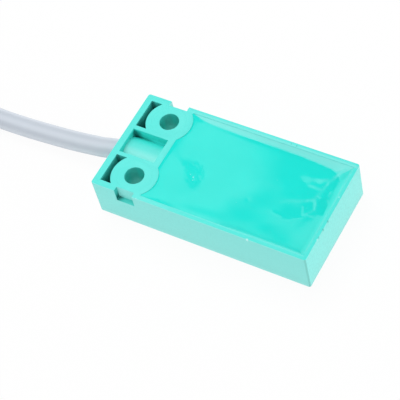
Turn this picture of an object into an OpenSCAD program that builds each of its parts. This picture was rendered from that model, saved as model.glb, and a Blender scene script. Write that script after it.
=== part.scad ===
// Flat proximity sensor: a potted housing with sensing coil, circuit board and a three-core cable
// The origin is the middle of the sensing face, which lies on the floor; the cable leaves along -X.

/* [Housing] */
// Length of the housing, from the cable end to the sensing end
body_l = 40; // [38:0.5:60]
// Width of the housing
body_w = 20; // [19:0.5:30]
// Height of the housing, from the sensing face to the rim
body_h = 8; // [7.5:0.1:12]
// Thickness of the floor behind the sensing face
floor_t = 1; // [0.6:0.1:1.3]
// Thickness of the two long walls
side_wall = 0.85; // [0.6:0.05:1.1]
// Thickness of the wall at the sensing end
nose_wall = 0.6; // [0.5:0.05:1.2]
// Thickness of the wall at the cable end
tail_wall = 1.2; // [0.8:0.05:1.5]
// Radius of the upright corners at the cable end
tail_corner_r = 0.4; // [0.2:0.1:0.9]
// Radius of the upright corners at the sensing end
nose_corner_r = 0.4; // [0.1:0.1:0.7]

/* [Mounting] */
// Diameter of the two mounting holes
hole_d = 3.4; // [2.6:0.1:4]
// Distance between the hole centres
hole_pitch = 12; // [11:0.1:13]
// Distance from the cable end to the hole centres
hole_from_tail = 6.25; // [5.75:0.05:7]
// Diameter of the boss round each hole
boss_d = 8.2; // [7.4:0.1:8.8]
// Width of the clip notch beside each hole
notch_w = 3.4; // [2:0.1:4.4]
// Depth of the clip notches into the side
notch_in = 0.9; // [0.4:0.1:1.4]
// Height of the clip notches, from the rim down
notch_h = 2.7; // [1.5:0.1:5]

/* [Cable entry] */
// Diameter of the cable
cable_d = 3.5; // [3.2:0.1:3.8]
// Height of the cable axis over the sensing face
cable_axis_h = 4.1; // [4:0.1:4.6]
// Diameter of the conduit that carries the cable under the window
conduit_d = 6; // [5.2:0.1:6]
// Gap between the cable and its bore, all round
cable_clear = 0.1; // [0.05:0.05:0.2]
// Length of the window over the conduit
window_l = 6.8; // [5:0.1:7]
// Width of the window over the conduit
window_w = 5; // [4:0.1:5.1]
// Thickness of the bridge between the window and the potted chamber
bridge_t = 1.2; // [0.8:0.05:1.6]
// Thickness of the ribs between the window and the corner pockets
rib_t = 0.75; // [0.5:0.05:1]
// Thickness of the long walls beside the corner pockets
pocket_wall = 1.15; // [0.9:0.05:1.6]
// Depth of the corner pockets, from the rim down
pocket_h = 6; // [3:0.1:6.4]
// Length of jacket that reaches into the potted chamber
jacket_in = 0.9; // [0.4:0.1:1.2]

/* [Potting] */
// Depth of the resin under the rim at the sensing end
resin_sink = 0.8; // [0.5:0.05:1]
// Depth of the resin under the rim at the cable end
resin_flush = 0.15; // [0.1:0.05:0.4]
// Depth under the rim at which the resin meets the walls
resin_edge = 0.1; // [0.05:0.05:0.3]
// Width of the hollow in which the resin climbs the walls
meniscus_w = 1.7; // [1:0.1:2.5]
// Radius of that hollow
meniscus_r = 3; // [2:0.1:5]

/* [Sensing head] */
// Diameter of the ferrite pot core
core_d = 14; // [11:0.1:16]
// Height of the pot core
core_h = 3.2; // [2.8:0.1:3.6]
// Thickness of the back of the pot core
core_back = 1; // [0.7:0.1:1.2]
// Thickness of the outer ring of the pot core
core_ring = 1.3; // [1:0.1:1.5]
// Diameter of the centre post of the pot core
core_post_d = 5; // [3.5:0.1:5.6]
// Distance from the sensing end to the axis of the pot core
core_from_nose = 10.6; // [9.8:0.1:12]
// Gap between the bobbin and the core, all round
bobbin_clear = 0.15; // [0.1:0.05:0.25]
// Thickness of the bobbin's tube and flanges
bobbin_t = 0.35; // [0.25:0.05:0.45]
// Gap between the outside of the winding and the edge of the flanges
winding_in = 0.35; // [0.2:0.05:0.6]
// Diameter of the two coil lead wires
lead_d = 0.3; // [0.2:0.05:0.4]
// Gap round a coil lead wire in the core and the board
lead_clear = 0.1; // [0.05:0.05:0.2]

/* [Circuit board] */
// Distance from the bridge to the circuit board
board_from_bridge = 4.85; // [4:0.05:5.5]
// Thickness of the circuit board
board_t = 0.8; // [0.6:0.1:1]
// Gap between the circuit board and the walls
board_clear = 0.35; // [0.2:0.05:0.6]
// Distance from the board's cable edge to the wire pads
pad_in = 3; // [2.4:0.1:3.4]
// Distance between the wire pads
pad_pitch = 2.6; // [2.2:0.1:3.4]
// Diameter of a solder joint at the board
solder_d = 1.3; // [1.1:0.1:1.6]
// Height of a solder joint
solder_h = 0.85; // [0.75:0.05:1]
// Length, width and height of the sensor chip's body
chip_size = [4.9, 3.9, 1.2]; // [0.5:0.1:5]
// Length, width and height of the voltage regulator's body
regulator_size = [2.5, 4.5, 1.5]; // [0.5:0.1:5]
// Length, width and height of the voltage regulator's cooling tab
tab_size = [1.2, 1.6, 0.4]; // [0.2:0.1:2]
// Length, width and height of the output transistor's body
transistor_size = [2.9, 1.3, 1]; // [0.5:0.1:3]
// Length, width and height of a protection diode
diode_size = [2.7, 1.6, 1.1]; // [0.5:0.1:3]
// Length, width and height of the tuning capacitor
tuning_size = [2.5, 3.2, 1.3]; // [0.5:0.1:3.5]
// Length, width and height of a chip capacitor
capacitor_size = [1.25, 2, 0.8]; // [0.4:0.05:2.2]
// Length, width and height of a chip resistor
resistor_size = [1.25, 2, 0.5]; // [0.4:0.05:2.2]
// Width and height of the legs of the chip and the transistor
leg_size = [0.4, 0.3]; // [0.2:0.05:0.6]
// Number of legs on each side of the sensor chip
chip_legs = 4; // [2:1:4]
// Number of legs on each side of the output transistor
transistor_legs = 2; // [1:1:2]
// Distance between the legs of the sensor chip
chip_leg_pitch = 1.2; // [0.8:0.05:1.4]
// How far the legs of the sensor chip reach out of its sides
chip_leg_reach = 0.8; // [0.4:0.1:1]
// Distance between the legs of the output transistor
transistor_leg_pitch = 1.9; // [1.2:0.1:2.2]
// How far the legs of the output transistor reach out of its sides
transistor_leg_reach = 0.5; // [0.3:0.1:0.8]

/* [Wires] */
// Diameter of the three insulated wires in the cable
wire_d = 0.95; // [0.8:0.05:1]
// Distance of the wires from the cable axis
wire_out = 0.75; // [0.7:0.05:0.85]
// Gap between a wire and its bore in the jacket
wire_clear = 0.05; // [0.03:0.01:0.08]
// Diameter of the bare conductor
conductor_d = 0.5; // [0.4:0.05:0.6]
// Length of the tinned tip of each wire
tip_l = 6; // [4:0.5:10]

/* [Hank] */
// Length of the straight part of the hank
run_l = 50.5; // [48:0.5:58]
// Radius of the smallest fold
fold_r = 10.5; // [10:0.1:12]
// How far each side of the hank is drawn in at the tie
waist_in = 8; // [5:0.1:9]
// Gap between neighbouring strands of one layer, square to them
strand_gap = 0.48; // [0.45:0.01:0.7]
// Gap between two layers of the hank
layer_gap = 0.5; // [0.45:0.05:0.8]
// Width of the tie round the hank
tie_w = 4; // [2.5:0.5:6]
// Thickness of the tie
tie_t = 0.8; // [0.6:0.1:1.2]
// Gap between the tie and the strands
tie_clear = 0.3; // [0.2:0.05:0.4]
// Length, width and height of the locking head of the tie
tie_head = [5.2, 6, 3.4]; // [2:0.1:8]

/* [Hidden] */
$fn = 64;
eps = 0.01;

// Housing, worked out from its ends
tail_x = -body_l / 2;
nose_x = body_l / 2;
hole_x = tail_x + hole_from_tail;
window_x = tail_x + tail_wall;
chamber_x0 = window_x + window_l + bridge_t;
chamber_x1 = nose_x - nose_wall;
chamber_y = body_w / 2 - side_wall;
pocket_y0 = window_w / 2 + rib_t;
pocket_y1 = body_w / 2 - pocket_wall;
pocket_end = 0.28;
pocket_x1 = hole_x - pocket_end * boss_d;
corner_steps = 6;

// Resin at the walls: the hollow goes through the wall's line and through the sunk surface
wall_z = body_h - resin_edge;
meniscus_chord = [meniscus_w, resin_edge - resin_sink];
meniscus_mid = [meniscus_w / 2, wall_z - (resin_sink - resin_edge) / 2];
meniscus_up = [-meniscus_chord[1], meniscus_chord[0]] / norm(meniscus_chord);
meniscus_at = meniscus_mid + meniscus_up * sqrt(pow(meniscus_r, 2) - pow(norm(meniscus_chord) / 2, 2));

// Sensing head, standing on the floor of the housing
core_x = nose_x - core_from_nose;
core_top = floor_t + core_h;
window_r0 = core_post_d / 2;
window_r1 = core_d / 2 - core_ring;
bobbin_r0 = window_r0 + bobbin_clear;
bobbin_r1 = window_r1 - bobbin_clear;
bobbin_h = core_h - core_back - bobbin_clear;
lead_r = bobbin_r1 - winding_in - lead_d / 2;
lead_y = [-lead_r, lead_r];

// Circuit board, lying on the back of the core
board_x0 = chamber_x0 + board_from_bridge;
board_x1 = chamber_x1 - board_clear;
board_l = board_x1 - board_x0;
board_y = chamber_y - board_clear;
board_top = core_top + board_t;
pad_x = board_x0 + pad_in;

// Places of the small components: share of the board's length from the cable edge, and of its half width
regulator_at = [0.26, -0.61];
transistor_at = [0.26, 0.64];
diode_at = [[0.26, 0.3], [0.26, -0.18]];
chip_at = [0.456, 0];
capacitor_at = [[0.41, 0.8], [0.5, 0.8], [0.41, -0.8], [0.5, -0.8]];
resistor_at = [[0.624, 0], [0.744, 0.57], [0.744, -0.57], [0.872, 0], [0.944, 0.36], [0.944, -0.36]];
tuning_at = [0.76, 0];

// Wires: angle of each round the cable axis, and its pad across the board
brown_place = [90, 0];
blue_place = [210, -1];
black_place = [330, 1];
wire_sides = 8;
jacket_x1 = chamber_x0 + jacket_in;
wire_z = board_top + wire_d / 2;
solder_top_d = 0.7;
bend_at = 0.45;
bend_near = 0.9;

// Route of the free cable: distance out of the housing, sideways shift, share of the drop to the floor
lead_route = [[0, 0, 0], [1.5, -0.03, 0.08], [3, -0.11, 0.23], [4.5, -0.21, 0.4], [6.5, -0.24, 0.575],
    [9, -0.34, 0.725], [12, -0.52, 0.82], [16, -0.64, 0.94], [20, -0.8, 1], [25, -0.92, 1], [29, -0.75, 1],
    [33, -0.1, 1], [37, 1.4, 1], [41, 3.6, 1], [45, 5.8, 1], [48.5, 7.3, 1], [52, 8.15, 1], [54.5, 8.3, 1]];
lead_sides = 8;

// Hank: layers that spiral in and out, each climb along a run
layers = 5;
loops_per_layer = 2;
spare_loops = 0.5;
run_rings = 6;
fold_rings = 7;
end_ring = 4;
hank_sides = 6;
quarters = 4;
first_turn = 1 / (2 * quarters);
waist_slope = waist_in * PI / run_l;
loop_step = (cable_d + strand_gap) / cos(atan(waist_slope));
layer_step = cable_d + layer_gap;
outer_r = fold_r + loops_per_layer * loop_step;
tie_lift = tie_t + tie_clear;
last_run = quarters * (layers * loops_per_layer - spare_loops);
ring_turns = concat([for (q = [0:last_run - 1]) let (rings = q % 2 == 0 ? run_rings : fold_rings)
    for (i = [0:rings - 1]) (q + i / rings) / quarters],
    [for (i = [0:end_ring]) (last_run + i / run_rings) / quarters]);
tie_r = cable_d / 2 + tie_clear;
tie_y0 = waist_in + loop_step / 2 - outer_r - tie_r;
tie_y1 = outer_r - waist_in + tie_r;
tie_z1 = tie_lift + layers * layer_step - layer_gap + tie_clear;
tie_facets = 32;

function last(list) = list[len(list) - 1];
function unit(v) = v / norm(v);
function mix(a, b, share) = a + (b - a) * share;
function ease(t) = let (s = min(max(t, 0), 1)) s * s * (3 - 2 * s);

// Centre line of the free cable, and the middle of the hank that it runs into
lead_path = [for (p = lead_route) [tail_x - p[0], p[1], mix(cable_axis_h, cable_d / 2, p[2])]];
hank_at = last(lead_path) - [cable_d + run_l / 2, outer_r + loop_step * first_turn, cable_d / 2];

// Share of the waist's draw at a distance from the middle of the hank
function waist(x) = abs(x) < run_l / 2 ? pow(cos(180 * x / run_l), 2) : 0;

// Layer that a turn belongs to, and the radius and height of the hank at that turn
function layer_of(turn) = min(max(floor((turn - first_turn) / loops_per_layer), 0), layers - 1);
function spiral(turn) = let (k = layer_of(turn), t = (turn - first_turn) / loops_per_layer - k)
    k % 2 == 0 ? 1 - t : t;
function hank_r(turn) = mix(fold_r, outer_r, spiral(turn));
function level(turn, k = 1) = k < layers
    ? ease((turn - k * loops_per_layer) * quarters) + level(turn, k + 1) : 0;

// Point of the loop of radius r at a turn: a run, a fold, the run back and the other fold
function loop_at(turn, r) = let (quarter = quarters * (turn - floor(turn)), q = floor(quarter),
        p = quarter - q, side = q < 2 ? 1 : -1, run_x = side * (run_l / 2 - run_l * p), angle = 90 + 180 * p)
    q % 2 == 0 ? [run_x, side * (r - waist_in * waist(run_x))]
        : [side * (r * cos(angle) - run_l / 2), side * r * sin(angle)];
function hank_point(turn, r, z) = let (p = loop_at(turn, r))
    hank_at + [p[0], p[1], z + tie_lift * waist(p[0])];
function strand_at(turn) = hank_point(turn, hank_r(turn), cable_d / 2 + layer_step * level(turn));

// Centre line of the hank
hank_path = concat([last(lead_path)], [for (turn = ring_turns) strand_at(turn)]);
hank_end = last(hank_path);
end_dir = unit(hank_end - hank_path[len(hank_path) - 2]);

// Bare wire ends, lying along a strand of the layer below
wire_end_turn = 0.13;
wire_end_rings = 8;
wire_lane = 3;
wire_fan = 1.1;
wire_rest = 0.15;
wire_ease = 1.6;
end_side = unit(cross(end_dir, [0, 0, 1]));
end_turn = last(ring_turns);
wire_drop = layer_step - (cable_d + wire_d) / 2 - wire_rest;

function path_length(p, i = 1) = i < len(p) ? norm(p[i] - p[i - 1]) + path_length(p, i + 1) : 0;
function to_segment(p, a, b) = let (t = (p - a) * (b - a) / ((b - a) * (b - a)))
    norm(p - mix(a, b, min(max(t, 0), 1)));
function strand_space(p, apart) = min([for (i = [0:len(p) - 1]) for (j = [0:len(p) - 2])
    if (abs(i - j) > apart)
        to_segment(p[i], p[j], p[j + 1])]);

// Place of a wire round the cable axis: sideways and up
function core_place(place) = [wire_out * cos(place[0]), wire_out * sin(place[0])];

// Route of a wire in the housing, from the cable exit over the board's edge to its pad
function inner_route(place) = let (c = core_place(place), y = place[1] * pad_pitch, z = cable_axis_h + c[1])
    [[tail_x, c[0], z], [jacket_x1, c[0], z], [jacket_x1 + wire_d / 2, c[0], z],
        [mix(jacket_x1, board_x0, bend_at), mix(c[0], y, bend_at), mix(z, wire_z, bend_at)],
        [board_x0 - wire_d / 2, mix(c[0], y, bend_near), wire_z + wire_rest / 2],
        [board_x0, y, wire_z + wire_rest / 2], [pad_x - solder_d / 2, y, wire_z + wire_rest / 2]];

// Route of a wire past the end of the jacket, easing from its place in the cable down to the strand below
function end_route(place) = let (c = core_place(place), start = hank_end + c[0] * end_side + [0, 0, c[1]])
    concat([start, start + wire_d * end_dir], [for (i = [2:wire_end_rings])
        let (share = ease(wire_ease * i / wire_end_rings),
            turn = end_turn + wire_end_turn * i / wire_end_rings,
            lane = hank_r(turn - wire_lane) + wire_fan * place[1],
            wide = mix(hank_r(turn) + c[0], lane, share))
        hank_point(turn, wide, cable_d / 2 + layer_step * (layers - 1) + mix(c[1], -wire_drop, share))]);

// Round tube along a path, its rings square to it
function heading(p, i) = unit(p[min(i + 1, len(p) - 1)] - p[max(i - 1, 0)]);
function ring(p, i, r, sides) = let (t = heading(p, i), s = unit(cross(t, [0, 0, 1])), u = cross(s, t))
    [for (k = [0:sides - 1]) p[i] + r * (cos(360 * k / sides) * s + sin(360 * k / sides) * u)];
module tube(path, d, sides) {
    count = len(path);
    points = [for (i = [0:count - 1]) each ring(path, i, d / 2, sides)];
    top = (count - 1) * sides;
    walls = [for (i = [0:count - 2]) for (k = [0:sides - 1]) let (a = i * sides + k,
        b = i * sides + (k + 1) % sides) each [[a, b, b + sides], [a, b + sides, a + sides]]];
    caps = [for (k = [1:sides - 2]) each [[0, k + 1, k], [top, top + k, top + k + 1]]];
    polyhedron(points, concat(walls, caps));
}

// Rectangle with rounded corners, from two opposite corners and the radius at each end
function corner(x, y, r, angle) = [for (i = [0:corner_steps])
    [x, y] + r * [cos(angle + 90 * i / corner_steps), sin(angle + 90 * i / corner_steps)]];
module rounded_plan(x0, x1, y, r0, r1)
    polygon(concat(corner(x1 - r1, y - r1, r1, 0), corner(x0 + r0, y - r0, r0, 90),
        corner(x0 + r0, r0 - y, r0, 180), corner(x1 - r1, r1 - y, r1, 270)));

// Box on the board: its place as shares of the board, its size, and how far it is moved along the board
module on_board(place, size, along = 0)
    translate([board_x0 + place[0] * board_l + along, place[1] * board_y, board_top + size[2] / 2])
        cube(size, center = true);

// Housing
module boss_plan(d)
    for (side = [-1, 1])
        translate([hole_x, side * hole_pitch / 2])
            circle(d = d);

module chamber_plan()
    difference() {
        translate([chamber_x0, -chamber_y])
            square([chamber_x1 - chamber_x0, 2 * chamber_y]);
        boss_plan(boss_d);
    }

module pocket_plan()
    difference() {
        for (side = [0, 1])
            mirror([0, side])
                translate([window_x, pocket_y0])
                    square([pocket_x1 - window_x, pocket_y1 - pocket_y0]);
        boss_plan(boss_d);
    }

module cable_line(d, x0, x1)
    translate([x0, 0, cable_axis_h])
        rotate([0, 90, 0])
            cylinder(d = d, h = x1 - x0);

module window_cut()
    difference() {
        translate([window_x, -window_w / 2, cable_axis_h])
            cube([window_l, window_w, body_h]);
        cable_line(conduit_d, window_x - eps, window_x + window_l + eps);
    }

module notch_cuts()
    for (side = [-1, 1])
        translate([hole_x, side * body_w / 2, body_h - notch_h / 2])
            cube([notch_w, 2 * notch_in, notch_h + eps], center = true);

module housing() color("turquoise")
    difference() {
        linear_extrude(body_h)
            rounded_plan(tail_x, nose_x, body_w / 2, tail_corner_r, nose_corner_r);
        translate([0, 0, floor_t])
            linear_extrude(body_h)
                chamber_plan();
        translate([0, 0, body_h - pocket_h])
            linear_extrude(body_h)
                pocket_plan();
        window_cut();
        notch_cuts();
        translate([0, 0, -eps])
            linear_extrude(body_h + 2 * eps)
                boss_plan(hole_d);
        cable_line(cable_d + 2 * cable_clear, tail_x - eps, chamber_x0 + eps);
    }

// Potting resin: a sloping fill that climbs the long walls and the sensing end
module meniscus_plan()
    difference() {
        translate([-side_wall / 2, floor_t])
            square([meniscus_w + side_wall / 2, wall_z - floor_t]);
        translate(meniscus_at)
            circle(r = meniscus_r);
    }

module resin_fill()
    rotate([90, 0, 0])
        linear_extrude(body_w, center = true)
            polygon([[chamber_x0, floor_t], [chamber_x1, floor_t], [chamber_x1, body_h - resin_sink],
                [chamber_x0, body_h - resin_flush]]);

module wall_climb(length)
    rotate([90, 0, 90])
        linear_extrude(length)
            meniscus_plan();

module resin_body()
    intersection() {
        linear_extrude(body_h)
            chamber_plan();
        union() {
            resin_fill();
            translate([chamber_x0, -chamber_y, 0])
                wall_climb(chamber_x1 - chamber_x0);
            translate([chamber_x1, chamber_y, 0])
                rotate(180)
                    wall_climb(chamber_x1 - chamber_x0);
            translate([chamber_x1, -chamber_y, 0])
                rotate(90)
                    wall_climb(2 * chamber_y);
        }
    }

module potting_resin() color("mediumturquoise")
    difference() {
        resin_body();
        translate([core_x, 0, 0])
            cylinder(d = core_d, h = core_top);
        board_blank();
        sensor_chip();
        output_transistor();
        voltage_regulator();
        protection_diodes();
        tuning_capacitor();
        chip_capacitors();
        chip_resistors();
        solder_blanks();
        cable_line(cable_d, tail_x, jacket_x1);
        brown_wire();
        blue_wire();
        black_wire();
    }

// Sensing head
module ferrite_core() color("dimgray")
    translate([core_x, 0, floor_t])
        difference() {
            cylinder(d = core_d, h = core_h);
            difference() {
                translate([0, 0, -eps])
                    cylinder(r = window_r1, h = core_h - core_back + eps);
                translate([0, 0, -2 * eps])
                    cylinder(d = core_post_d, h = core_h);
            }
            for (y = lead_y)
                translate([0, y, 0])
                    cylinder(d = lead_d + 2 * lead_clear, h = core_h + eps);
        }

module coil_bobbin() color("ivory")
    translate([core_x, 0, floor_t])
        difference() {
            cylinder(r = bobbin_r1, h = bobbin_h);
            translate([0, 0, -eps])
                cylinder(r = bobbin_r0, h = bobbin_h + 2 * eps);
            translate([0, 0, bobbin_t])
                difference() {
                    cylinder(r = bobbin_r1 + eps, h = bobbin_h - 2 * bobbin_t);
                    translate([0, 0, -eps])
                        cylinder(r = bobbin_r0 + bobbin_t, h = bobbin_h);
                }
            for (y = lead_y)
                translate([0, y, bobbin_h / 2])
                    cylinder(d = lead_d + 2 * lead_clear, h = bobbin_h);
        }

module coil_winding() color("sienna")
    translate([core_x, 0, floor_t + bobbin_t])
        difference() {
            cylinder(r = bobbin_r1 - winding_in, h = bobbin_h - 2 * bobbin_t);
            translate([0, 0, -eps])
                cylinder(r = bobbin_r0 + bobbin_t, h = bobbin_h);
            coil_lead_cut();
        }

module coil_lead_cut()
    for (y = lead_y)
        translate([0, y, bobbin_h / 2 - bobbin_t])
            cylinder(d = lead_d + eps, h = bobbin_h);

module coil_lead_wires() color("chocolate")
    for (y = lead_y)
        translate([core_x, y, floor_t + bobbin_h / 2])
            cylinder(d = lead_d, h = board_top + solder_h - floor_t - bobbin_h / 2);

// Circuit board and what is soldered to it
module board_blank()
    translate([board_x0, -board_y, core_top])
        cube([board_l, 2 * board_y, board_t]);

module circuit_board() color("darkgreen")
    difference() {
        board_blank();
        for (y = lead_y)
            translate([core_x, y, core_top - eps])
                cylinder(d = lead_d + 2 * lead_clear, h = board_t + 2 * eps);
    }

module legs(place, size, pitch, count, reach)
    for (i = [0:count - 1])
        on_board(place, [leg_size[0], size[1] + 2 * reach, leg_size[1]], (i - (count - 1) / 2) * pitch);

module sensor_chip() color("black")
    union() {
        on_board(chip_at, chip_size);
        legs(chip_at, chip_size, chip_leg_pitch, chip_legs, chip_leg_reach);
    }

module output_transistor() color("black")
    union() {
        on_board(transistor_at, transistor_size);
        legs(transistor_at, transistor_size, transistor_leg_pitch, transistor_legs, transistor_leg_reach);
    }

module voltage_regulator() color("black")
    union() {
        on_board(regulator_at, regulator_size);
        on_board(regulator_at, tab_size, regulator_size[0] / 2);
    }

module protection_diodes() color("black")
    for (place = diode_at)
        on_board(place, diode_size);

module tuning_capacitor() color("tan")
    on_board(tuning_at, tuning_size);

module chip_capacitors() color("burlywood")
    for (place = capacitor_at)
        on_board(place, capacitor_size);

module chip_resistors() color("darkslategray")
    for (place = resistor_at)
        on_board(place, resistor_size);

module solder_blanks() {
    for (step = [-1:1])
        translate([pad_x, step * pad_pitch, board_top])
            cylinder(d1 = solder_d, d2 = solder_top_d, h = solder_h);
    for (y = lead_y)
        translate([core_x, y, board_top])
            cylinder(d1 = solder_d, d2 = solder_top_d, h = solder_h);
}

module solder_joints() color("lightgray")
    difference() {
        solder_blanks();
        coil_lead_wires();
    }

// Cable in the housing
module cable_jacket() color("gainsboro")
    difference() {
        cable_line(cable_d, tail_x, jacket_x1);
        for (place = [brown_place, blue_place, black_place])
            translate([0, core_place(place)[0], core_place(place)[1]])
                cable_line(wire_d + 2 * wire_clear, tail_x - eps, jacket_x1 + eps);
    }

module brown_wire() color("saddlebrown")
    tube(inner_route(brown_place), wire_d, wire_sides);

module blue_wire() color("royalblue")
    tube(inner_route(blue_place), wire_d, wire_sides);

module black_wire() color("black")
    tube(inner_route(black_place), wire_d, wire_sides);

// Free cable, its hank and the bare wire ends
module cable_lead() color("gainsboro")
    tube(lead_path, cable_d, lead_sides);

module cable_hank() color("gainsboro") {
    echo(lead_length = path_length(lead_path), hank_length = path_length(hank_path));
    echo(least_gap = strand_space(hank_path, run_rings + fold_rings / 2) - cable_d);
    tube(hank_path, cable_d, hank_sides);
}

module tie_plan(y0, y1, z0, z1, r)
    hull()
        for (y = [y0 + r, y1 - r])
            for (z = [z0 + r, z1 - r])
                translate([y, z])
                    circle(r = r, $fn = tie_facets);

module hank_tie() color("whitesmoke")
    translate([hank_at[0], hank_at[1], 0])
        union() {
            rotate([90, 0, 90])
                linear_extrude(tie_w, center = true)
                    difference() {
                        tie_plan(tie_y0 - tie_t, tie_y1 + tie_t, 0, tie_z1 + tie_t, tie_r + tie_t);
                        tie_plan(tie_y0, tie_y1, tie_t, tie_z1, tie_r);
                    }
            translate([-tie_head[0] / 2, -tie_head[1] / 2, tie_z1 + tie_t / 2])
                cube(tie_head);
        }

module brown_wire_end() color("saddlebrown")
    tube(end_route(brown_place), wire_d, wire_sides);

module blue_wire_end() color("royalblue")
    tube(end_route(blue_place), wire_d, wire_sides);

module black_wire_end() color("black")
    tube(end_route(black_place), wire_d, wire_sides);

module tinned_tips() color("silver")
    for (place = [brown_place, blue_place, black_place]) {
        route = end_route(place);
        end = last(route);
        tube([end, end + tip_l * unit(end - route[len(route) - 2])], conductor_d, wire_sides);
    }

housing();
potting_resin();
circuit_board();
ferrite_core();
coil_bobbin();
coil_winding();
coil_lead_wires();
sensor_chip();
output_transistor();
voltage_regulator();
protection_diodes();
tuning_capacitor();
chip_capacitors();
chip_resistors();
solder_joints();
cable_jacket();
brown_wire();
blue_wire();
black_wire();
cable_lead();
cable_hank();
hank_tie();
brown_wire_end();
blue_wire_end();
black_wire_end();
tinned_tips();
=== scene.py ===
"""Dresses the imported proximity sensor: housing, casting resin, inside parts, cable, hank, tie, wire ends."""

import math

import bmesh
import bpy
import numpy as np
from mathutils import Matrix, Vector


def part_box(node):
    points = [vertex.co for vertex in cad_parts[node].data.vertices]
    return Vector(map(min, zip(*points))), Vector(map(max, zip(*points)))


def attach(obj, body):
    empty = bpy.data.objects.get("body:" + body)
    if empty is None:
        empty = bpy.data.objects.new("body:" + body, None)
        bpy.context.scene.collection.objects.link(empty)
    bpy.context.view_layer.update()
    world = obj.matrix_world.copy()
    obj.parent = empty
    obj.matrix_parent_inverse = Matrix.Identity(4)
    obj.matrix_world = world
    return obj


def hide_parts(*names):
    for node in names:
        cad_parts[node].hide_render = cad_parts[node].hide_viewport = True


bl_info = {
    "name": "Potted Proximity Sensor",
    "version": (1, 0, 0),
    "blender": (4, 5, 0),
    "location": "View3D > Sidebar > Sensor",
    "description": "Finishes the housing, resin, inside parts, cable and tied hank of a proximity sensor",
    "category": "Object",
}

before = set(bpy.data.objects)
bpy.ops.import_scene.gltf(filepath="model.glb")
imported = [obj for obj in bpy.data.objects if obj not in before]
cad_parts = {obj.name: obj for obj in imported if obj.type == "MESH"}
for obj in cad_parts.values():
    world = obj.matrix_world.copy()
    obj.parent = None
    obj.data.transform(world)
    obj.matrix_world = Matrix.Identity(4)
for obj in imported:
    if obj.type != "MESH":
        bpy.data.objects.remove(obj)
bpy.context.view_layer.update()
MM = 0.001

# Meshes: gaps in metres that are closed in copies of solids and in drawn tubes, and angles in degrees
SOLID_MERGE = 1e-6
TUBE_MERGE = 1e-7
FLAT_ANGLE = 0.5
BEVEL_ANGLE = 30
SMOOTH_ANGLE = 35
JACKET_SMOOTH = 50
RESIN_SMOOTH = 12

# Camera, in metres
CAMERA_AT = (0.10059, -0.12001, 0.21847)
CAMERA_RIGHT = (0.86571, 0.47357, -0.16208)
CAMERA_DOWN = (0.31236, -0.76416, -0.56435)
CAMERA_AHEAD = (-0.39112, 0.43794, -0.80946)
CAMERA_LENS = 143.92
CAMERA_FILM = 36
CAMERA_CLIP = 0.01

# Floor and lamp, in metres
FLOOR_SIZE = 4
LAMP_AT = (-0.2, 0.2, 0.58)
LAMP_SIZE = 0.5

# Dark side of the room: its way, the tilt and rise at which it begins and is full, its share in soft light,
# and the least rise that the tilt is taken from
DARK_WAY = (1, 0.92)
DARK_TILT = (0.115, 0.155)
DARK_RISE = (0.3, 0.55)
DARK_FILL = 0.45
DARK_LEAST = 0.05
# Light added low on the sensing end's side, and the dimmer stretch that gloss shows on the cable's side
LOW_LIGHT = 1.05
DIM_TILT = (-0.36, -0.46)
DIM_LEVEL = 0.85
DIM_LEAST = 0.3

# Cable route in millimetres: out of the housing, sideways, share of the drop to the floor
TAIL_X = -20
CABLE_AXIS_H = 4.1
CABLE_D = 3.5
LEAD_ROUTE = (
    (0, 0, 0), (1.5, -0.03, 0.08), (3, -0.11, 0.23), (4.5, -0.21, 0.4), (6.5, -0.24, 0.575),
    (9, -0.34, 0.725), (12, -0.52, 0.82), (16, -0.64, 0.94), (20, -0.8, 1), (25, -0.92, 1), (29, -0.75, 1),
    (33, -0.1, 1), (37, 1.4, 1), (41, 3.6, 1), (45, 5.8, 1), (48.5, 7.3, 1), (52, 8.15, 1), (54.5, 8.3, 1),
)
LEAD_STEPS = 5
# Jacket: sides of its outline, lobes over the wires, faint bands of painted reflection along it and the first
# one's place in turns
JACKET_SIDES = 36
JACKET_LOBES = 3
JACKET_REFLECTION_BANDS = 6
REFLECTION_BAND_AT = 0.6

# Hank in millimetres: straight run, innermost fold, how far the tie draws the runs in, gaps
RUN_L = 50.5
FOLD_R = 10.5
WAIST_IN = 8
STRAND_GAP = 0.48
LAYER_GAP = 0.5
# Its layers and loops, those left off the last layer, the turn at which the first layer begins to go in
LAYERS = 5
LOOPS_PER_LAYER = 2
SPARE_LOOPS = 0.5
FIRST_TURN = 1 / 8
# Parts of a turn, run and fold by turns, their rings, and the share of the last run up to the jacket's end
TURN_PARTS = 4
RUN_RINGS = 24
FOLD_RINGS = 28
END_SHARE = 4 / 6
# Tie: thickness, room round the strands, rounding of its edges
TIE_T = 0.8
TIE_CLEAR = 0.3
TIE_ROUND = 0.15
# Worked out from these
TIE_LIFT = TIE_T + TIE_CLEAR
LOOP_STEP = (CABLE_D + STRAND_GAP) / math.cos(math.atan(WAIST_IN * math.pi / RUN_L))
LAYER_STEP = CABLE_D + LAYER_GAP
OUTER_R = FOLD_R + LOOPS_PER_LAYER * LOOP_STEP
LAST_RUN = int(TURN_PARTS * (LAYERS * LOOPS_PER_LAYER - SPARE_LOOPS))
END_TURN = (LAST_RUN + END_SHARE) / TURN_PARTS
TIE_TOP = TIE_LIFT + LAYERS * LAYER_STEP - LAYER_GAP + TIE_CLEAR
# Ribs of the tie on both sides of its head: count, first place, pitch, size, and the stretch that keeps them
RIB_COUNT = 9
RIB_FROM = 3.6
RIB_PITCH = 0.8
RIB_SIZE = (2.6, 0.36, 0.36)
RIB_STRETCH = (-9.2, 11.3)
# Cut tail of the tie: place off the hank's middle and off the tie's top, size, rounding
TAIL_Y = 3.4
TAIL_UP = 2.5
TAIL_SIZE = (3.6, 3.2, 0.8)
TAIL_ROUND = 0.12

# Wire ends: angle in the cable and lane on the strand below
WIRE_PLACES = {"brown": (90, 0), "blue": (210, -1), "black": (330, 1)}
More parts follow.
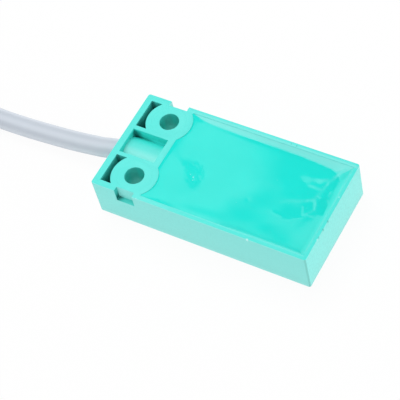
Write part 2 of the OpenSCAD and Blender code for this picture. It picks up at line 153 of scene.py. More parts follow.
# Their place off the cable's middle in millimetres, length in turns of the hank, rings
WIRE_OUT = 0.75
WIRE_TURN = 0.13
WIRE_RINGS = 8
# Turns back to the strand below, millimetres between lanes and off that strand, how soon they come down
WIRE_LANE = 3
WIRE_FAN = 1.1
WIRE_REST = 0.15
WIRE_EASE = 1.6
# Tinned tips in millimetres: length, strands round the middle one, lay, steps, share inside the insulation
TIP_L = 6
STRANDS = 6
STRAND_LAY = 4
STRAND_STEPS = 20
STRAND_SUNK = 0.05

# Housing in millimetres: half length and width and height from the frame, then its bosses
HALF_L, HALF_W, TOP_Z = (round(high / MM, 3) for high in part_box("housing")[1])
BOSS_AT = (-13.75, 6)
BOSS_R = 4.1
# Reach of the bore's shading, and the faint ring that the tool left round it
BORE_EDGE = 1.95
BOSS_RING = 3.05
# Window with the crease at its conduit, corner pockets, clip notches
WINDOW_X = -15.4
WINDOW_HALF = (3.4, 2.5)
CREASE_Z = 5.76
POCKET_AT = (-17.4, 6.05)
POCKET_HALF = (1.6, 2.95)
NOTCH_X = -15.45
NOTCH_Y = 9.05
NOTCH_Z = 5.3
# Dark corners of the hollows: place and reach in the window, places and shares of the shadow in the pockets
WINDOW_CORNER = (-18.8, 2.5)
WINDOW_CORNER_REACH = (1.8, 1)
POCKET_CORNERS = (((-18.9, 8.9), 0.8), ((-18.9, -3.2), 0.85))
POCKET_CORNER_REACH = (0.9, 0.9)

# Shadow by depth in the pockets, the near notch and the window, from none to full
POCKET_DEPTH = (TOP_Z - 0.1, 4.5)
NOTCH_DEPTH = (7.3, 5.6)
WINDOW_DEPTH = (TOP_Z - 0.1, 7.2)
# Shadow at the far pocket's low end, and the slanting edge of the shadow on the notch's floor
POCKET_END = ((2, 2.5), (6.4, 4.2))
NOTCH_SLANT = 0.6
NOTCH_SHADOW = (NOTCH_X + 6.9, NOTCH_X + 5.6)

# Rim's fuller colour from none to full: at the nose, near, far and cable walls, and on the cable end's face
RIM_NOSE = (19.3, 19.5)
RIM_NEAR = (-9.3, -9.45)
RIM_NEAR_ALONG = (-7, 0)
RIM_FAR = (9.55, 9.7)
RIM_CABLE = (-19, -19.3)
RIM_UP = (TOP_Z - 0.5, TOP_Z - 0.2)
CABLE_FACE = (-11.5, -16.5)
# Other looks from none to full: painted highlight on the far rim, painted highlight on the outer edge, painted
# shade on the long sides, painted light at the foot and in the crease, painted shade and light in the bore,
# nicks, ring
RIM_HIGHLIGHT_ACROSS = ((9, 9.1), (9.7, 9.5))
RIM_HIGHLIGHT_ALONG = (-10.6, -9.4)
EDGE_X = (HALF_L - 0.2, HALF_L - 0.1)
EDGE_Y = (HALF_W - 0.2, HALF_W - 0.1)
EDGE_UP = (TOP_Z - 1, TOP_Z - 0.5)
SIDE_ALONG = (-16, 12)
FOOT = (1.1, 0.1)
CREASE_REACH = (1.1, 0.2)
CREASE_ALONG = (-17.2, -14.6)
BORE_UP = (6, 7.6)
BORE_DOWN = (6, 4)
NICK_UP = (7.4, 7.7)
RING_WIDTH = (0.16, 0.02)
RING_UP = (TOP_Z - 0.1, TOP_Z - 0.02)

# Small nicks on the rim: place, radius, tone below 0 for dark and above 0 for light
NICKS = (
    (9.6, -10.0, 0.26, 0.5), (20.0, -1.9, 0.22, -0.4), (20.0, -3.6, 0.24, -0.35), (20.0, -5.2, 0.2, -0.3),
    (20.0, -5.7, 0.2, 0.3), (8.7, 9.5, 0.18, -0.4), (7.7, 9.55, 0.16, -0.35), (-11.2, -9.9, 0.14, 0.3),
)

# Resin chamber in millimetres, the height from which its top is made anew, and that top's steps
CHAMBER_X = (-10.8, 19.4)
CHAMBER_Y = 9.15
CAP_Z = 6.9
CAP_STEPS = (240, 150)

# The film's pale colour is a painted reflection on the resin where it climbs the walls; the widths also shape
# that climb
# Width of the film on the far, near and nose walls, by place along the long ones
FAR_FILM = ((-10.8, -10.4, -9, -8, -7, -5, -2, 2, 6, 10, 13, 15, 16, 17, 18, 19.4),
            (0.02, 0.1, 0.55, 0.72, 0.89, 0.95, 0.98, 0.97, 0.88, 0.94, 1.11, 1.28, 1.38, 1.75, 2.65, 2.65))
NEAR_FILM = ((-10.8, -10.2, -7, 19.4), (0.02, 0.15, 1.1, 1.4))
NOSE_FILM = 1.2
# Softness of the far film's edge, by place along the wall, and its share at that edge
FAR_FADE = ((16.8, 18), (0.14, 1))
FAR_EDGE = 0.7
# Strength of the near film, by place along the wall, and how fast it dies away
NEAR_FADE = ((-8, -2, 2, 5, 9), (0.05, 0.1, 0.16, 0.32, 0.42))
NEAR_FADE_POWER = 1.2
# Pale strip of painted reflection on the nose wall: its share, its end and softness in widths of the film, the
# haze beside it
STRIP = 0.42
STRIP_END = (0.45, 0.25)
STRIP_HAZE = 0.1
# Mitre of the far film in the corner at the nose, and the bare patch in the near corner
MITRE_SLOPE = 1.13
MITRE_SOFT = 0.15
BARE_CORNER_R = 1.5

# Climb of the resin: how far it stays under the film's top, and how fast it dies away off the walls
CLIMB_SHORT = 0.1
FAR_BEND = 0.3
NEAR_POWER = 4.5
NOSE_POWER = 1.8
# Rise at the near wall, by place along it, and its reach
NEAR_RISE = ((-8, -4, 1), (0.075, 0.02, 0))
NEAR_RISE_REACH = 1.6
# Rises at the bridge and round the bosses: height and reach
BRIDGE_RISES = ((0.05, 0.4), (0.085, 3))
BOSS_RISES = ((0.03, 0.15), (0.022, 0.95))
# Groove along the edge of the far film: depth and half width
GROOVE = (0.009, 0.4)
# Soft limit near the near wall: height over the film's top, softness, and the stretch in which it sets in
LIMIT_OVER = 0.03
LIMIT_SOFT = 0.02
LIMIT_FROM = -5
LIMIT_STRETCH = 2

# Slow swells of the resin: centre, reach along and across, turn in degrees, slope in the way of the dark side
SWELLS = (
    # Cloud from the near wall to the sensing end
    ((2.1, -9.4), (8.2, 3.2), -2, -0.047), ((5.2, -2.8), (11.9, 3.2), 26, 0.027),
    ((7.8, -4.9), (7.8, 4), 22, -0.108), ((17.8, 0.3), (7.7, 3), 21, -0.083),
    ((13.7, -2.6), (4.4, 1.1), 35, -0.021), ((6.1, -4.4), (6.5, 1.8), 34, 0.018),
    ((15.9, -3.7), (2.9, 2), 38, -0.027), ((6.8, -4.2), (3.4, 5.1), 83, 0.016),
    ((14.3, -1.6), (1.4, 3), 4, 0.008),
    # Cluster near the cable end
    ((-5.8, -1), (3.2, 2.5), -30, -0.035), ((-4.3, -3.8), (1.9, 2.7), -75, -0.035),
    ((-8, -0.4), (1.6, 1), -20, -0.0075), ((-3.6, -1), (1.5, 2.6), 25, -0.0225),
    # Hollows and ridges at the sensing end
    ((17.7, 5.1), (0.3, 1.5), 0, -0.05), ((17.2, 3.1), (0.4, 1.3), -25, -0.105),
    ((18.2, 0), (0.7, 2.6), 20, -0.055), ((16, -0.3), (0.5, 1.3), -5, -0.03),
    ((12.9, -1.7), (4.6, 1.3), 30, -0.02), ((13.7, 4.2), (1.8, 1), 15, 0.055),
    ((15.2, 5.1), (1.3, 0.7), 25, 0.085), ((16.1, 5.6), (0.5, 1), 80, 0.04),
    ((15.3, 3.4), (2.1, 0.4), 10, 0.015), ((17.2, -4.6), (2.1, 3.8), -50, 0.025),
)
# Filaments that stand up where the resin pulled together: two ends, half width, height
FILAMENTS = (
    ((17.4, 7), (17.2, 5.8), 0.2, 0.04), ((16.9, 6), (16.8, 5), 0.25, 0.02),
    ((16.8, 5), (16.6, 4), 0.25, 0.025), ((16.1, 1.7), (15.1, 1), 0.3, 0.025),
    ((15.9, 1.4), (16.7, 0.8), 0.4, 0.025), ((16.5, 0.6), (16.8, -0.2), 0.25, 0.025),
    ((16.9, -0.3), (16.5, -1), 0.4, 0.03), ((16.5, -0.8), (15.9, -1.7), 0.4, 0.03),
    ((16.2, -1.5), (17.1, -1.4), 0.25, 0.03), ((17.2, -1.1), (18.2, -0.8), 0.35, 0.035),
    ((16.2, 2.3), (17.3, 2.2), 0.2, 0.02), ((17.1, 2.3), (18.2, 2.3), 0.25, 0.015),
    ((10.8, -3.4), (12.5, -3.5), 0.25, 0.015), ((12.7, -3.9), (14.1, -3.4), 0.25, 0.01),
    ((14.4, -3.1), (15.6, -2.3), 0.2, 0.015), ((15, -0.5), (15.4, -1.5), 0.25, 0.02),
)
# Pale webs of painted reflection between the dark cells: lines of places with the film's share at each, half
# width
WEBS = (
    (((17.5, 7.6, 0.6), (17.15, 6.6, 0.24), (16.7, 5.4, 0.14), (16.4, 4.2, 0.12), (16.1, 2.5, 0.14),
      (15.9, 1.5, 0.17), (14.8, 0.6, 0.14), (13.5, 0.0, 0.12), (12.2, -0.45, 0.1), (11.2, -1.2, 0.05)), 0.32),
    (((15.9, 1.4, 0.15), (16.5, 0.5, 0.15), (16.7, -0.2, 0.15), (16.4, -0.9, 0.13), (15.8, -1.5, 0.08)),
     0.24),
    (((16.2, 5.6, 0.2), (15.2, 5.0, 0.2), (13.2, 4.3, 0.06)), 0.35),
    (((16.0, 3.5, 0.2), (14.2, 3.4, 0.1)), 0.3),
)
# Dimples: centre, radius, depth
DIMPLES = (
    ((-4.6, -2.35), 0.16, 0.008), ((-4.3, -2.85), 0.16, 0.008), ((-5.2, 0.7), 0.2, 0.002),
    ((-4.6, 1.3), 0.2, 0.002), ((-5.7, 1.2), 0.2, 0.002), ((-3.0, -1.2), 0.2, 0.002),
    ((-2.9, -2.6), 0.2, 0.002), ((-3.2, -4.1), 0.2, 0.002), ((-5.1, -3.4), 0.2, 0.002),
    ((-3.9, -1.6), 0.16, 0.004), ((6.0, -2.9), 0.3, 0.006), ((1.1, -3.0), 0.25, 0.004),
)
# Bubbles caught at the surface: place and radius
BUBBLES = ((-4.5, -2.4, 0.17), (-4.3, -2.95, 0.11), (-5.2, -2.1, 0.1))
# Frothy patch of the cluster: centre and reach
FROTH_AT = (-4.9, -1.7)
FROTH_REACH = (2.3, 2.6)


def length_property(name, description, default, lowest, highest):
    """A length in metres that a user sets."""
    return bpy.props.FloatProperty(
        name=name, description=description, default=default, min=lowest, max=highest, precision=6,
        unit="LENGTH")


def share_property(name, description, default):
    """A share from 0 to 1 that a user sets."""
    return bpy.props.FloatProperty(
        name=name, description=description, default=default, min=0, max=1, subtype="FACTOR")


def colour_property(name, description, default):
    """A colour that a user picks."""
    return bpy.props.FloatVectorProperty(
        name=name, description=description, default=default, size=3, min=0, max=1, subtype="COLOR")


class SensorSizes(bpy.types.PropertyGroup):
    """Sizes of the finish that a maker would change."""

    edge_round: length_property(
        "Edge round", "Radius on the edges of the moulding", 0.00012, 0.00002, 0.0003)
    resin_high: length_property(
        "Resin at the bridge", "Height of the resin at the cable end", 0.00785, 0.0074, 0.0079)
    resin_low: length_property(
        "Resin at the nose", "Height of the resin at the sensing end", 0.0072, 0.007, 0.0079)
    film_top: length_property(
        "Film top", "Height to which the resin climbs the walls", 0.0079, 0.0075, 0.00798)
    cable_diameter: length_property("Cable", "Diameter of the cable jacket", 0.0035, 0.002, 0.0036)
    jacket_lobe: length_property(
        "Jacket lobe", "Depth of the hollows between the three wires under the jacket", 0.00001, 0, 0.0003)
    jacket_twist: length_property("Jacket twist", "Length in which the wires go once round", 2.5, 0.05, 5)
    wire_diameter: length_property("Wire", "Diameter of an insulated wire", 0.00095, 0.0006, 0.0012)
    strand_diameter: length_property("Strand", "Diameter of one tinned strand", 0.000166, 0.00008, 0.0002)


class SensorColours(bpy.types.PropertyGroup):
    """Colours of the pieces."""

    housing: colour_property("Housing", "Moulded plastic of the housing", (0.112, 0.775, 0.706))
    rim: colour_property("Housing rim", "Fuller colour of the moulding's rim", (0.062, 0.742, 0.662))
    # Painted sheen: the paler colour of the outer sides stands for light glancing off them
    side: colour_property("Housing sides", "Duller outer sides of the housing", (0.245, 0.80, 0.748))
    # Painted shade: the darker colour on the walls of the holes and pockets
    hollow_shade: colour_property("Housing hollows", "Deeper colour in the holes and pockets", (0.012, 0.62, 0.54))
    # Painted shade on the walls of the window
    window: colour_property("Window", "Walls of the window over the conduit", (0.03, 0.68, 0.6))
    crease: colour_property("Window crease", "Light caught between wall and conduit", (0.1, 1, 0.95))
    # Painted sheen: the paler colour on the near side of the conduit
    conduit: colour_property("Conduit", "Near side of the conduit in the window", (0.37, 0.93, 0.89))
    # Painted light: lifts the far side of the conduit, which lies in shade by the window's wall
    conduit_far: colour_property("Conduit, far", "Far side of the conduit in the window", (0.025, 0.78, 0.7))
    bore_low: colour_property("Bore, lower half", "Light from below in the screw holes", (0.3, 0.95, 0.9))
    resin: colour_property("Resin", "Casting resin in the chamber", (0.0129, 0.745, 0.655))
    # Painted reflection: the paler colour of the resin where it climbs the walls, also the painted highlight
    # on the far rim
    film: colour_property("Resin film", "Thin resin that climbs the walls", (0.18, 0.735, 0.69))
    jacket: colour_property("Jacket", "Cable jacket", (0.549, 0.601, 0.672))
    brown: colour_property("Brown wire", "Insulation of the supply wire", (0.17, 0.07, 0.03))
    blue: colour_property("Blue wire", "Insulation of the return wire", (0.03, 0.13, 0.50))
    black: colour_property("Black wire", "Insulation of the signal wire", (0.02, 0.02, 0.022))
    tie: colour_property("Tie", "Nylon of the hank tie", (0.72, 0.72, 0.68))
    tin: colour_property("Tin", "Tinned strands and solder", (0.70, 0.70, 0.68))
    board: colour_property("Board", "Lacquer of the circuit board", (0.02, 0.17, 0.07))
    ferrite: colour_property("Ferrite", "Fired core of the coil", (0.035, 0.035, 0.038))
    bobbin: colour_property("Bobbin", "Moulded coil former", (0.62, 0.58, 0.48))
    copper: colour_property("Copper", "Enamelled wire of the coil", (0.62, 0.22, 0.07))
    chip: colour_property("Chip", "Moulded body of the chips", (0.018, 0.018, 0.02))
    capacitor: colour_property("Capacitor", "Ceramic of the capacitors", (0.42, 0.30, 0.18))
    resistor: colour_property("Resistor", "Top glaze of the resistors", (0.03, 0.035, 0.045))


class SensorStage(bpy.types.PropertyGroup):
    """Floor and light round the sensor."""

    floor: colour_property("Floor", "Plain floor under the sensor", (0.86, 0.86, 0.86))
    floor_shade: share_property("Floor shade", "Share of the shadow that shows on the floor", 0.06)
    floor_glow: share_property("Floor glow", "Share of the floor's own even light", 0.5)
    sky: share_property("Sky", "Level of the light from all round", 0.62)
    horizon: share_property("Horizon", "Light added towards the horizon", 0.55)
    shade: share_property("Dark side", "How dark the unlit side of the room shows in gloss", 0.97)
    lamp: bpy.props.FloatProperty(
        name="Lamp", description="Power of the soft box overhead", default=2.05, min=0, max=20, unit="POWER")


class Field:
    """An output socket. Sums, products and powers of it add Math nodes."""

    def __init__(self, graph, socket):
        self.graph = graph
        self.socket = socket

    def math(self, operation, first, second=None):
        """A Math node on one or two values."""
        values = {0: first} if second is None else {0: first, 1: second}
        return self.graph.add("ShaderNodeMath", {"operation": operation}, values)

    def __add__(self, other):
        return self.math("ADD", self, other)

    __radd__ = __add__

    def __sub__(self, other):
        return self.math("SUBTRACT", self, other)

    def __rsub__(self, other):
        return self.math("SUBTRACT", other, self)

    def __mul__(self, other):
        return self.math("MULTIPLY", self, other)

    __rmul__ = __mul__

    def __truediv__(self, other):
        return self.math("DIVIDE", self, other)

    def __rtruediv__(self, other):
        return self.math("DIVIDE", other, self)

    def __pow__(self, other):
        return self.math("POWER", self, other)

    def __abs__(self):
        return self.math("ABSOLUTE", self)

    def most(self, other):
        """The larger of two values."""
        return self.math("MAXIMUM", self, other)

    def sine(self):
        """The sine of the value."""
        return self.math("SINE", self)

    def step(self, low, high):
        """0 below low, 1 above high, smooth between; the other way round where low is above high."""
        sockets = {"Value": self, "From Min": low, "From Max": high}
        return self.graph.add("ShaderNodeMapRange", {"interpolation_type": "SMOOTHSTEP"}, sockets)

    def over(self, limit, soft=0.1):
        """0 up to the limit, 1 from soft above it."""
        return self.step(limit, limit + soft)

    def under(self, limit, soft=0.1):
        """0 down to the limit, 1 from soft below it."""
        return self.step(limit, limit - soft)


class Graph:
    """The nodes of a material or of the world."""

    def __init__(self, owner):
        owner.use_nodes = True
        self.owner = owner
        self.tree = owner.node_tree
        self.tree.nodes.clear()

    def add(self, kind, settings=None, sockets=None, output=0):
        """Adds a node: its settings first, then the values and links of its sockets."""
        node = self.tree.nodes.new(kind)
        for name, value in (settings or {}).items():
            setattr(node, name, value)
        for name, value in (sockets or {}).items():
            if isinstance(value, Field):
                self.tree.links.new(value.socket, node.inputs[name])
            else:
                node.inputs[name].default_value = value
        return Field(self, node.outputs[output]) if len(node.outputs) else None

    def blend(self, first, second, share):
        """A colour between two, by share."""
        sockets = {0: share, 6: paint(first), 7: paint(second)}
        return self.add("ShaderNodeMix", {"data_type": "RGBA"}, sockets, 2)

    def coats(self, shade, *layers):
        """A colour under others laid over it in turn, each with its share."""
        for colour, share in layers:
            shade = self.blend(shade, colour, share)
        return shade

    def place(self):
        """Place on the piece, in millimetres."""
        at = self.add("ShaderNodeTexCoord", output="Object")
        return self.add("ShaderNodeVectorMath", {"operation": "SCALE"}, {0: at, "Scale": 1 / MM})

    def axes(self, vector):
        """The three values of a vector."""
        return [self.add("ShaderNodeSeparateXYZ", None, {0: vector}, axis) for axis in range(3)]

    def noise(self, at, scale, detail=2, rough=0.5):
        """Cloudy noise round 0.5; scale is in waves per millimetre."""
        sockets = {"Vector": at, "Scale": scale, "Detail": detail, "Roughness": rough}
        return self.add("ShaderNodeTexNoise", None, sockets)

    def dots(self, at, scale, size):
        """1 at the middle of small scattered dots, 0 between them."""
        sockets = {"Vector": at, "Scale": scale, "Randomness": 1}
        return self.add("ShaderNodeTexVoronoi", None, sockets).step(size, size * 0.4)

    def finish(self, colour, rough, height, depth, metal=0, **fixed):
        """Closes a material with a shader; depth is the bump's height in metres."""
        bump = self.add("ShaderNodeBump", None, {"Distance": depth, "Height": height})
        sockets = {"Base Color": paint(colour), "Roughness": rough, "Metallic": metal, "Normal": bump}
        sockets.update({name.replace("_", " "): value for name, value in fixed.items()})
        surface = self.add("ShaderNodeBsdfPrincipled", None, sockets)
        self.add("ShaderNodeOutputMaterial", None, {"Surface": surface})
        return self.owner


def paint(colour):
    """A colour with its alpha, or the field that gives it."""
    return colour if isinstance(colour, Field) else (*colour, 1)


def lighter(colour, by):
    """A colour taken towards white, or towards black where by is below 0."""
    return tuple(c + (1 - c) * by if by > 0 else c * (1 + by) for c in colour)


def apart(x, y, at, reach=(1, 1)):
    """Distance of a place from a point, each way in units of its reach."""
    return (((x - at[0]) / reach[0]) ** 2 + ((y - at[1]) / reach[1]) ** 2) ** 0.5


class HousingPlan:
    """Regions of the housing, each 1 inside and 0 outside, on places in millimetres."""

    def __init__(self, g, at):
        self.x, self.y, self.z = x, y, z = g.axes(at)
        self.facing = facing = g.axes(g.add("ShaderNodeNewGeometry", None, None, "Normal"))
        self.long_side = abs(y).over(CHAMBER_Y - 0.2) * (y * facing[1]).step(5, 8.5)
        self.short_side = abs(x).over(CHAMBER_X[1] - 0.2) * (x * facing[0]).step(10, 17)
        self.side = self.long_side.most(self.short_side)
        # Rounded vertical corners, where shade is painted
        self.corner = abs(facing[0] * facing[1]).step(0.2, 0.45)
        self.top = facing[2].step(0.6, 0.9)
        self.at_rim = self.top * z.step(*RIM_UP)
        along = abs(x - WINDOW_X)
        across = abs(y).under(WINDOW_HALF[1] - 0.02, 0.04)
        # Near side of the conduit, where sheen is painted
        self.conduit = across * along.under(WINDOW_HALF[0] + 0.05) * facing[1].step(0, -0.6)
        in_window = across * along.under(WINDOW_HALF[0], 0.06)
        boxed = abs(y).under(WINDOW_HALF[1] + 0.08, 0.04) * along.under(WINDOW_HALF[0] + 0.08, 0.06)
        self.boxed = boxed * z.under(TOP_Z - 0.03, 0.09)
        inside = abs(x).under(HALF_L - 0.05) * abs(y).under(HALF_W - 0.05)
        # Upright faces in the hollows, where shade is painted
        self.hollow_shade = abs(facing[2]).step(0.35, 0.1) * inside * (1 - self.side.most(in_window))
        self.from_boss = apart(x, abs(y), BOSS_AT)
        self.bore = self.from_boss.under(BORE_EDGE) * self.hollow_shade
        pocket = abs(x - POCKET_AT[0]).under(POCKET_HALF[0])
        self.pocket = pocket * abs(abs(y) - POCKET_AT[1]).under(POCKET_HALF[1])
        notch_floor = abs(y).over(NOTCH_Y - 0.05) * abs(z - NOTCH_Z).under(0.2) * facing[2].step(0.5, 0.9)
        self.notch_floor = notch_floor * abs(x - BOSS_AT[0]).under(2, 0.2)
        self.near_notch = y.under(-NOTCH_Y) * facing[0].step(0.5, 0.9)
        self.far_notch = y.over(NOTCH_Y) * facing[0].step(0.4, 0.8) * abs(x - NOTCH_X).under(0.4)


def housing_shadow(plan):
    """Share of shadow in the pockets, in the window's corner and in the near notch."""
    x, y, z, pocket = plan.x, plan.y, plan.z, plan.pocket
    shadow = pocket * (z.step(*POCKET_DEPTH) * 0.5 + 0.2 + plan.facing[0].step(0, -0.6) * 0.3)
    shadow = shadow.most(plan.near_notch * (z.step(*NOTCH_DEPTH) * 0.6 + 0.36))
    for corner, share in POCKET_CORNERS:
        shadow = shadow.most(pocket * apart(x, y, corner, POCKET_CORNER_REACH).step(1, 0.3) * share)
    far_pocket_end = pocket * y.step(*POCKET_END[0]) * y.step(*POCKET_END[1])
    shadow = shadow.most(far_pocket_end * 0.72) * plan.hollow_shade
    window_corner = apart(x, y, WINDOW_CORNER, WINDOW_CORNER_REACH).step(1, 0.2) * z.step(*WINDOW_DEPTH)
    notch_corner = plan.notch_floor * (x - y * NOTCH_SLANT).step(*NOTCH_SHADOW)
    return shadow.most(window_corner * 0.7).most(notch_corner * 0.85)


def housing_rim(plan):
    """Share of the fuller colour on the rim, and towards the cable end on all of the top."""
    x, y = plan.x, plan.y
    near = y.step(*RIM_NEAR) * x.step(*RIM_NEAR_ALONG) * 0.75
    far = y.step(*RIM_FAR) * 0.5
    cable_end = x.step(*RIM_CABLE) * 0.5
    rim = x.step(*RIM_NOSE).most(near).most(far).most(cable_end) * plan.at_rim
    return rim.most(x.step(*CABLE_FACE) * plan.top * 0.4)


def housing_plastic(colours):
    """Satin moulded plastic: fine grain, fuller rim, nicks; painted sheen on the sides, painted highlights on
    the edges, painted shade in the hollows, painted shade and light in the window and the bores.
    """
    g = Graph(bpy.data.materials.new("housing_plastic"))
    at = g.place()
    plan = HousingPlan(g, at)
    x, y, z, up = plan.x, plan.y, plan.z, plan.facing[2]
    # The sides' colour carries a painted sheen and the hollows' colour a painted shade
    colour, side_sheen_colour, painted_shade_colour = colours.housing, colours.side, colours.hollow_shade
    drift = g.noise(at, 0.11, 2)
    grain = g.noise(at, 7, 3)
    mottle = g.noise(at, 2.2, 3, 0.6)
    specks = g.dots(at, 0.42, 0.07)
    # Painted highlight along the outer top edges
    outer = (abs(x).step(*EDGE_X) * 0.3).most(abs(y).step(*EDGE_Y))
    edge = outer * up.step(0.2, 0.4) * up.step(0.98, 0.9) * z.step(*EDGE_UP)
    far_rim_highlight = y.step(*RIM_HIGHLIGHT_ACROSS[0]) * y.step(*RIM_HIGHLIGHT_ACROSS[1]) * x.step(*RIM_HIGHLIGHT_ALONG) * plan.at_rim
    crease = apart(y, z, (WINDOW_HALF[1], CREASE_Z)).step(*CREASE_REACH) * plan.boxed * x.step(*CREASE_ALONG)
    shade = g.coats(
        g.blend(lighter(colour, -0.04), lighter(colour, 0.025), drift.step(0.3, 0.7)),
        (colours.rim, housing_rim(plan)),
        # Painted highlight along the far rim's inner edge, in the resin film's colour
        (colours.film, far_rim_highlight * 0.85),
        (lighter(colour, -0.1), grain.step(0.4, 0.7) * 0.5),
        (lighter(colour, 0.35), specks * 0.7),
        # Painted sheen on the outer sides, painted shade along the long sides towards the nose, painted light
        # on the end face
        (side_sheen_colour, plan.side * (drift * 0.2 + 0.8)),
        (lighter(side_sheen_colour, -0.07), plan.long_side * (x.step(*SIDE_ALONG) * 0.6 + 0.4)),
        (tuple(c * 1.05 for c in side_sheen_colour), plan.short_side),
        (lighter(side_sheen_colour, -0.12), plan.side * mottle.step(0.35, 0.7) * 0.5),
        # Painted light low on the sides, painted highlight on the outer top edges, painted shade in the
        # rounded corners
        (lighter(side_sheen_colour, 0.14), plan.side * z.step(*FOOT) * 0.5),
        (lighter(side_sheen_colour, 0.12), edge * 0.7),
        (lighter(side_sheen_colour, -0.32), plan.corner * 0.8),
        # Painted shade on the walls of the hollows, on the notch's floor and on the window's walls
        (painted_shade_colour, (plan.hollow_shade * 0.5).most(plan.notch_floor * 0.35)),
        (colours.window, plan.boxed * abs(up).step(0.5, 0.2) * 0.9),
        # Painted light on the conduit's far side, in the crease and on the far notch's wall, painted sheen on
        # the conduit's near side
        (colours.conduit_far, plan.boxed * plan.facing[1].step(0, 0.75) * 0.8),
        (colours.crease, crease),
        (colours.conduit, plan.conduit),
        (lighter(side_sheen_colour, 0.1), plan.far_notch),
        # Painted shade high in the bores and painted light low in them, then painted shadow in the pockets,
        # the window's corner and the notch
        (lighter(painted_shade_colour, -0.4), plan.bore * z.step(*BORE_UP) * 0.5),
        (colours.bore_low, plan.bore * z.step(*BORE_DOWN) * 0.7),
        (lighter(painted_shade_colour, -0.86), housing_shadow(plan)),
    )
    for nick_x, nick_y, radius, tone in NICKS:
        spot = apart(x, y, (nick_x, nick_y)).step(radius, radius * 0.4)
        shade = g.blend(shade, lighter(colour, tone), spot * z.step(*NICK_UP) * 0.8)
    ring = abs(plan.from_boss - BOSS_RING).step(*RING_WIDTH) * z.step(*RING_UP)
    height = grain * 0.5 + specks * 0.8 - ring * 3
    rough = grain * 0.12 + plan.side * 0.1 + 0.33
    return g.finish(shade, rough, height, 0.000006, Specular_IOR_Level=0.42, IOR=1.5)


def casting_resin(colour, film):
    """Glossy cast resin, duller in the thin film that climbs the walls, with a painted reflection that makes
    the film paler.
    """
    g = Graph(bpy.data.materials.new("casting_resin"))
    at = g.place()
    thin = g.add("ShaderNodeAttribute", {"attribute_name": "film"}, None, "Fac")
    x, y, _ = g.axes(at)
    cloud = g.noise(at, 0.18, 3)
    dust = g.dots(at, 0.55, 0.05)
    body = g.blend(lighter(colour, -0.03), lighter(colour, 0.003), cloud.step(0.3, 0.7))
    body = g.blend(body, lighter(colour, 0.3), dust * 0.25)
    for bubble_x, bubble_y, radius in BUBBLES:
        spot = apart(x, y, (bubble_x, bubble_y)).step(radius, radius * 0.3)
        body = g.blend(body, lighter(colour, 0.6), spot * 0.45)
    # Painted reflection: the film's paler colour where the resin climbs the walls
    shade = g.blend(body, film, thin)
    rough = thin * 0.3 + g.noise(at, 1.3, 2) * 0.03 + 0.04
    frothy = (apart(x, y, FROTH_AT, FROTH_REACH) ** 2).step(1, 0.5)
    height = g.noise(at, 0.9, 1) + dust + frothy * g.noise(at, 1.7, 2) * 16
    return g.finish(shade, rough, height, 0.0000008, Specular_IOR_Level=0.62, IOR=1.5)


def jacket_plastic(colour):
    """Soft cable jacket: matt, with faint bands of painted reflection and drawing lines along it and the odd
    scuff.
    """
    g = Graph(bpy.data.materials.new("jacket_plastic"))
    at = g.place()
    round_it = g.add("ShaderNodeAttribute", {"attribute_name": "round"}, None, "Fac")
    lines = g.add("ShaderNodeTexNoise", {"noise_dimensions": "1D"}, {"W": round_it, "Scale": 26, "Detail": 2})
    scuff = g.noise(at, 0.5, 4, 0.6)
    grain = g.noise(at, 11, 2)
    # Painted reflection: light and dark bands along the jacket
    band = g.add("ShaderNodeAttribute", {"attribute_name": "band"}, None, "Fac")
    shade = g.coats(
        g.blend(lighter(colour, -0.13), lighter(colour, 0.1), band * 0.5 + 0.5),
        (lighter(colour, 0.06), lines.step(0.3, 0.7) * 0.3),
        (lighter(colour, 0.15), scuff.step(0.62, 0.75) * 0.35),
    )
    return g.finish(shade, grain * 0.12 + 0.36, grain + lines * 0.4, 0.000008, Specular_IOR_Level=0.5)


def plain_insulation(name, colour, rough=0.38):
    """Drawn plastic of one colour, slightly uneven."""
    g = Graph(bpy.data.materials.new(name))
    at = g.place()
    drift = g.noise(at, 0.7, 3)
    grain = g.noise(at, 14, 2)
    shade = g.blend(lighter(colour, -0.12), lighter(colour, 0.06), drift.step(0.3, 0.7))
    return g.finish(shade, grain * 0.14 + rough, grain, 0.000006)


def tinned_metal(name, colour):
    """Tin: bright, with dull patches and fine waves."""
    g = Graph(bpy.data.materials.new(name))
    at = g.place()
    dull = g.noise(at, 2.2, 3)
    wave = g.noise(at, 9, 2)
    shade = g.blend(lighter(colour, -0.2), lighter(colour, 0.2), dull.step(0.35, 0.65))
    return g.finish(shade, dull * 0.25 + 0.2, wave, 0.000006, metal=1)


def tie_nylon(colour):
    """Milky nylon, cloudy and finely grained."""
    g = Graph(bpy.data.materials.new("tie_nylon"))
    at = g.place()
    cloud = g.noise(at, 0.4, 3)
    grain = g.noise(at, 8, 3)
    shade = g.blend(lighter(colour, -0.08), lighter(colour, 0.12), cloud.step(0.3, 0.7))
    rough = grain * 0.15 + 0.38
    return g.finish(shade, rough, grain, 0.000008, Subsurface_Weight=0.15, Subsurface_Scale=0.0006)


def board_laminate(colour):
    """Green lacquer over a woven laminate: the weave shows faintly."""
    g = Graph(bpy.data.materials.new("board_laminate"))
    at = g.place()
    x, y, _ = g.axes(at)
    weave = (x * 9).sine() * (y * 9).sine()
    cloud = g.noise(at, 0.8, 3)
    shade = g.blend(lighter(colour, -0.15), lighter(colour, 0.08), cloud * 0.6 + weave * 0.2 + 0.2)
    return g.finish(shade, cloud * 0.1 + 0.25, weave, 0.000005, Coat_Weight=0.4)


def fired_ceramic(name, colour, rough):
    """Fired ceramic: dense, matt, faintly grainy."""
    g = Graph(bpy.data.materials.new(name))
    at = g.place()
    grit = g.noise(at, 12, 4, 0.65)
    cloud = g.noise(at, 0.9, 2)
    shade = g.blend(lighter(colour, -0.15), lighter(colour, 0.1), grit * 0.6 + cloud * 0.4)
    return g.finish(shade, grit * 0.2 + rough, grit, 0.00001)


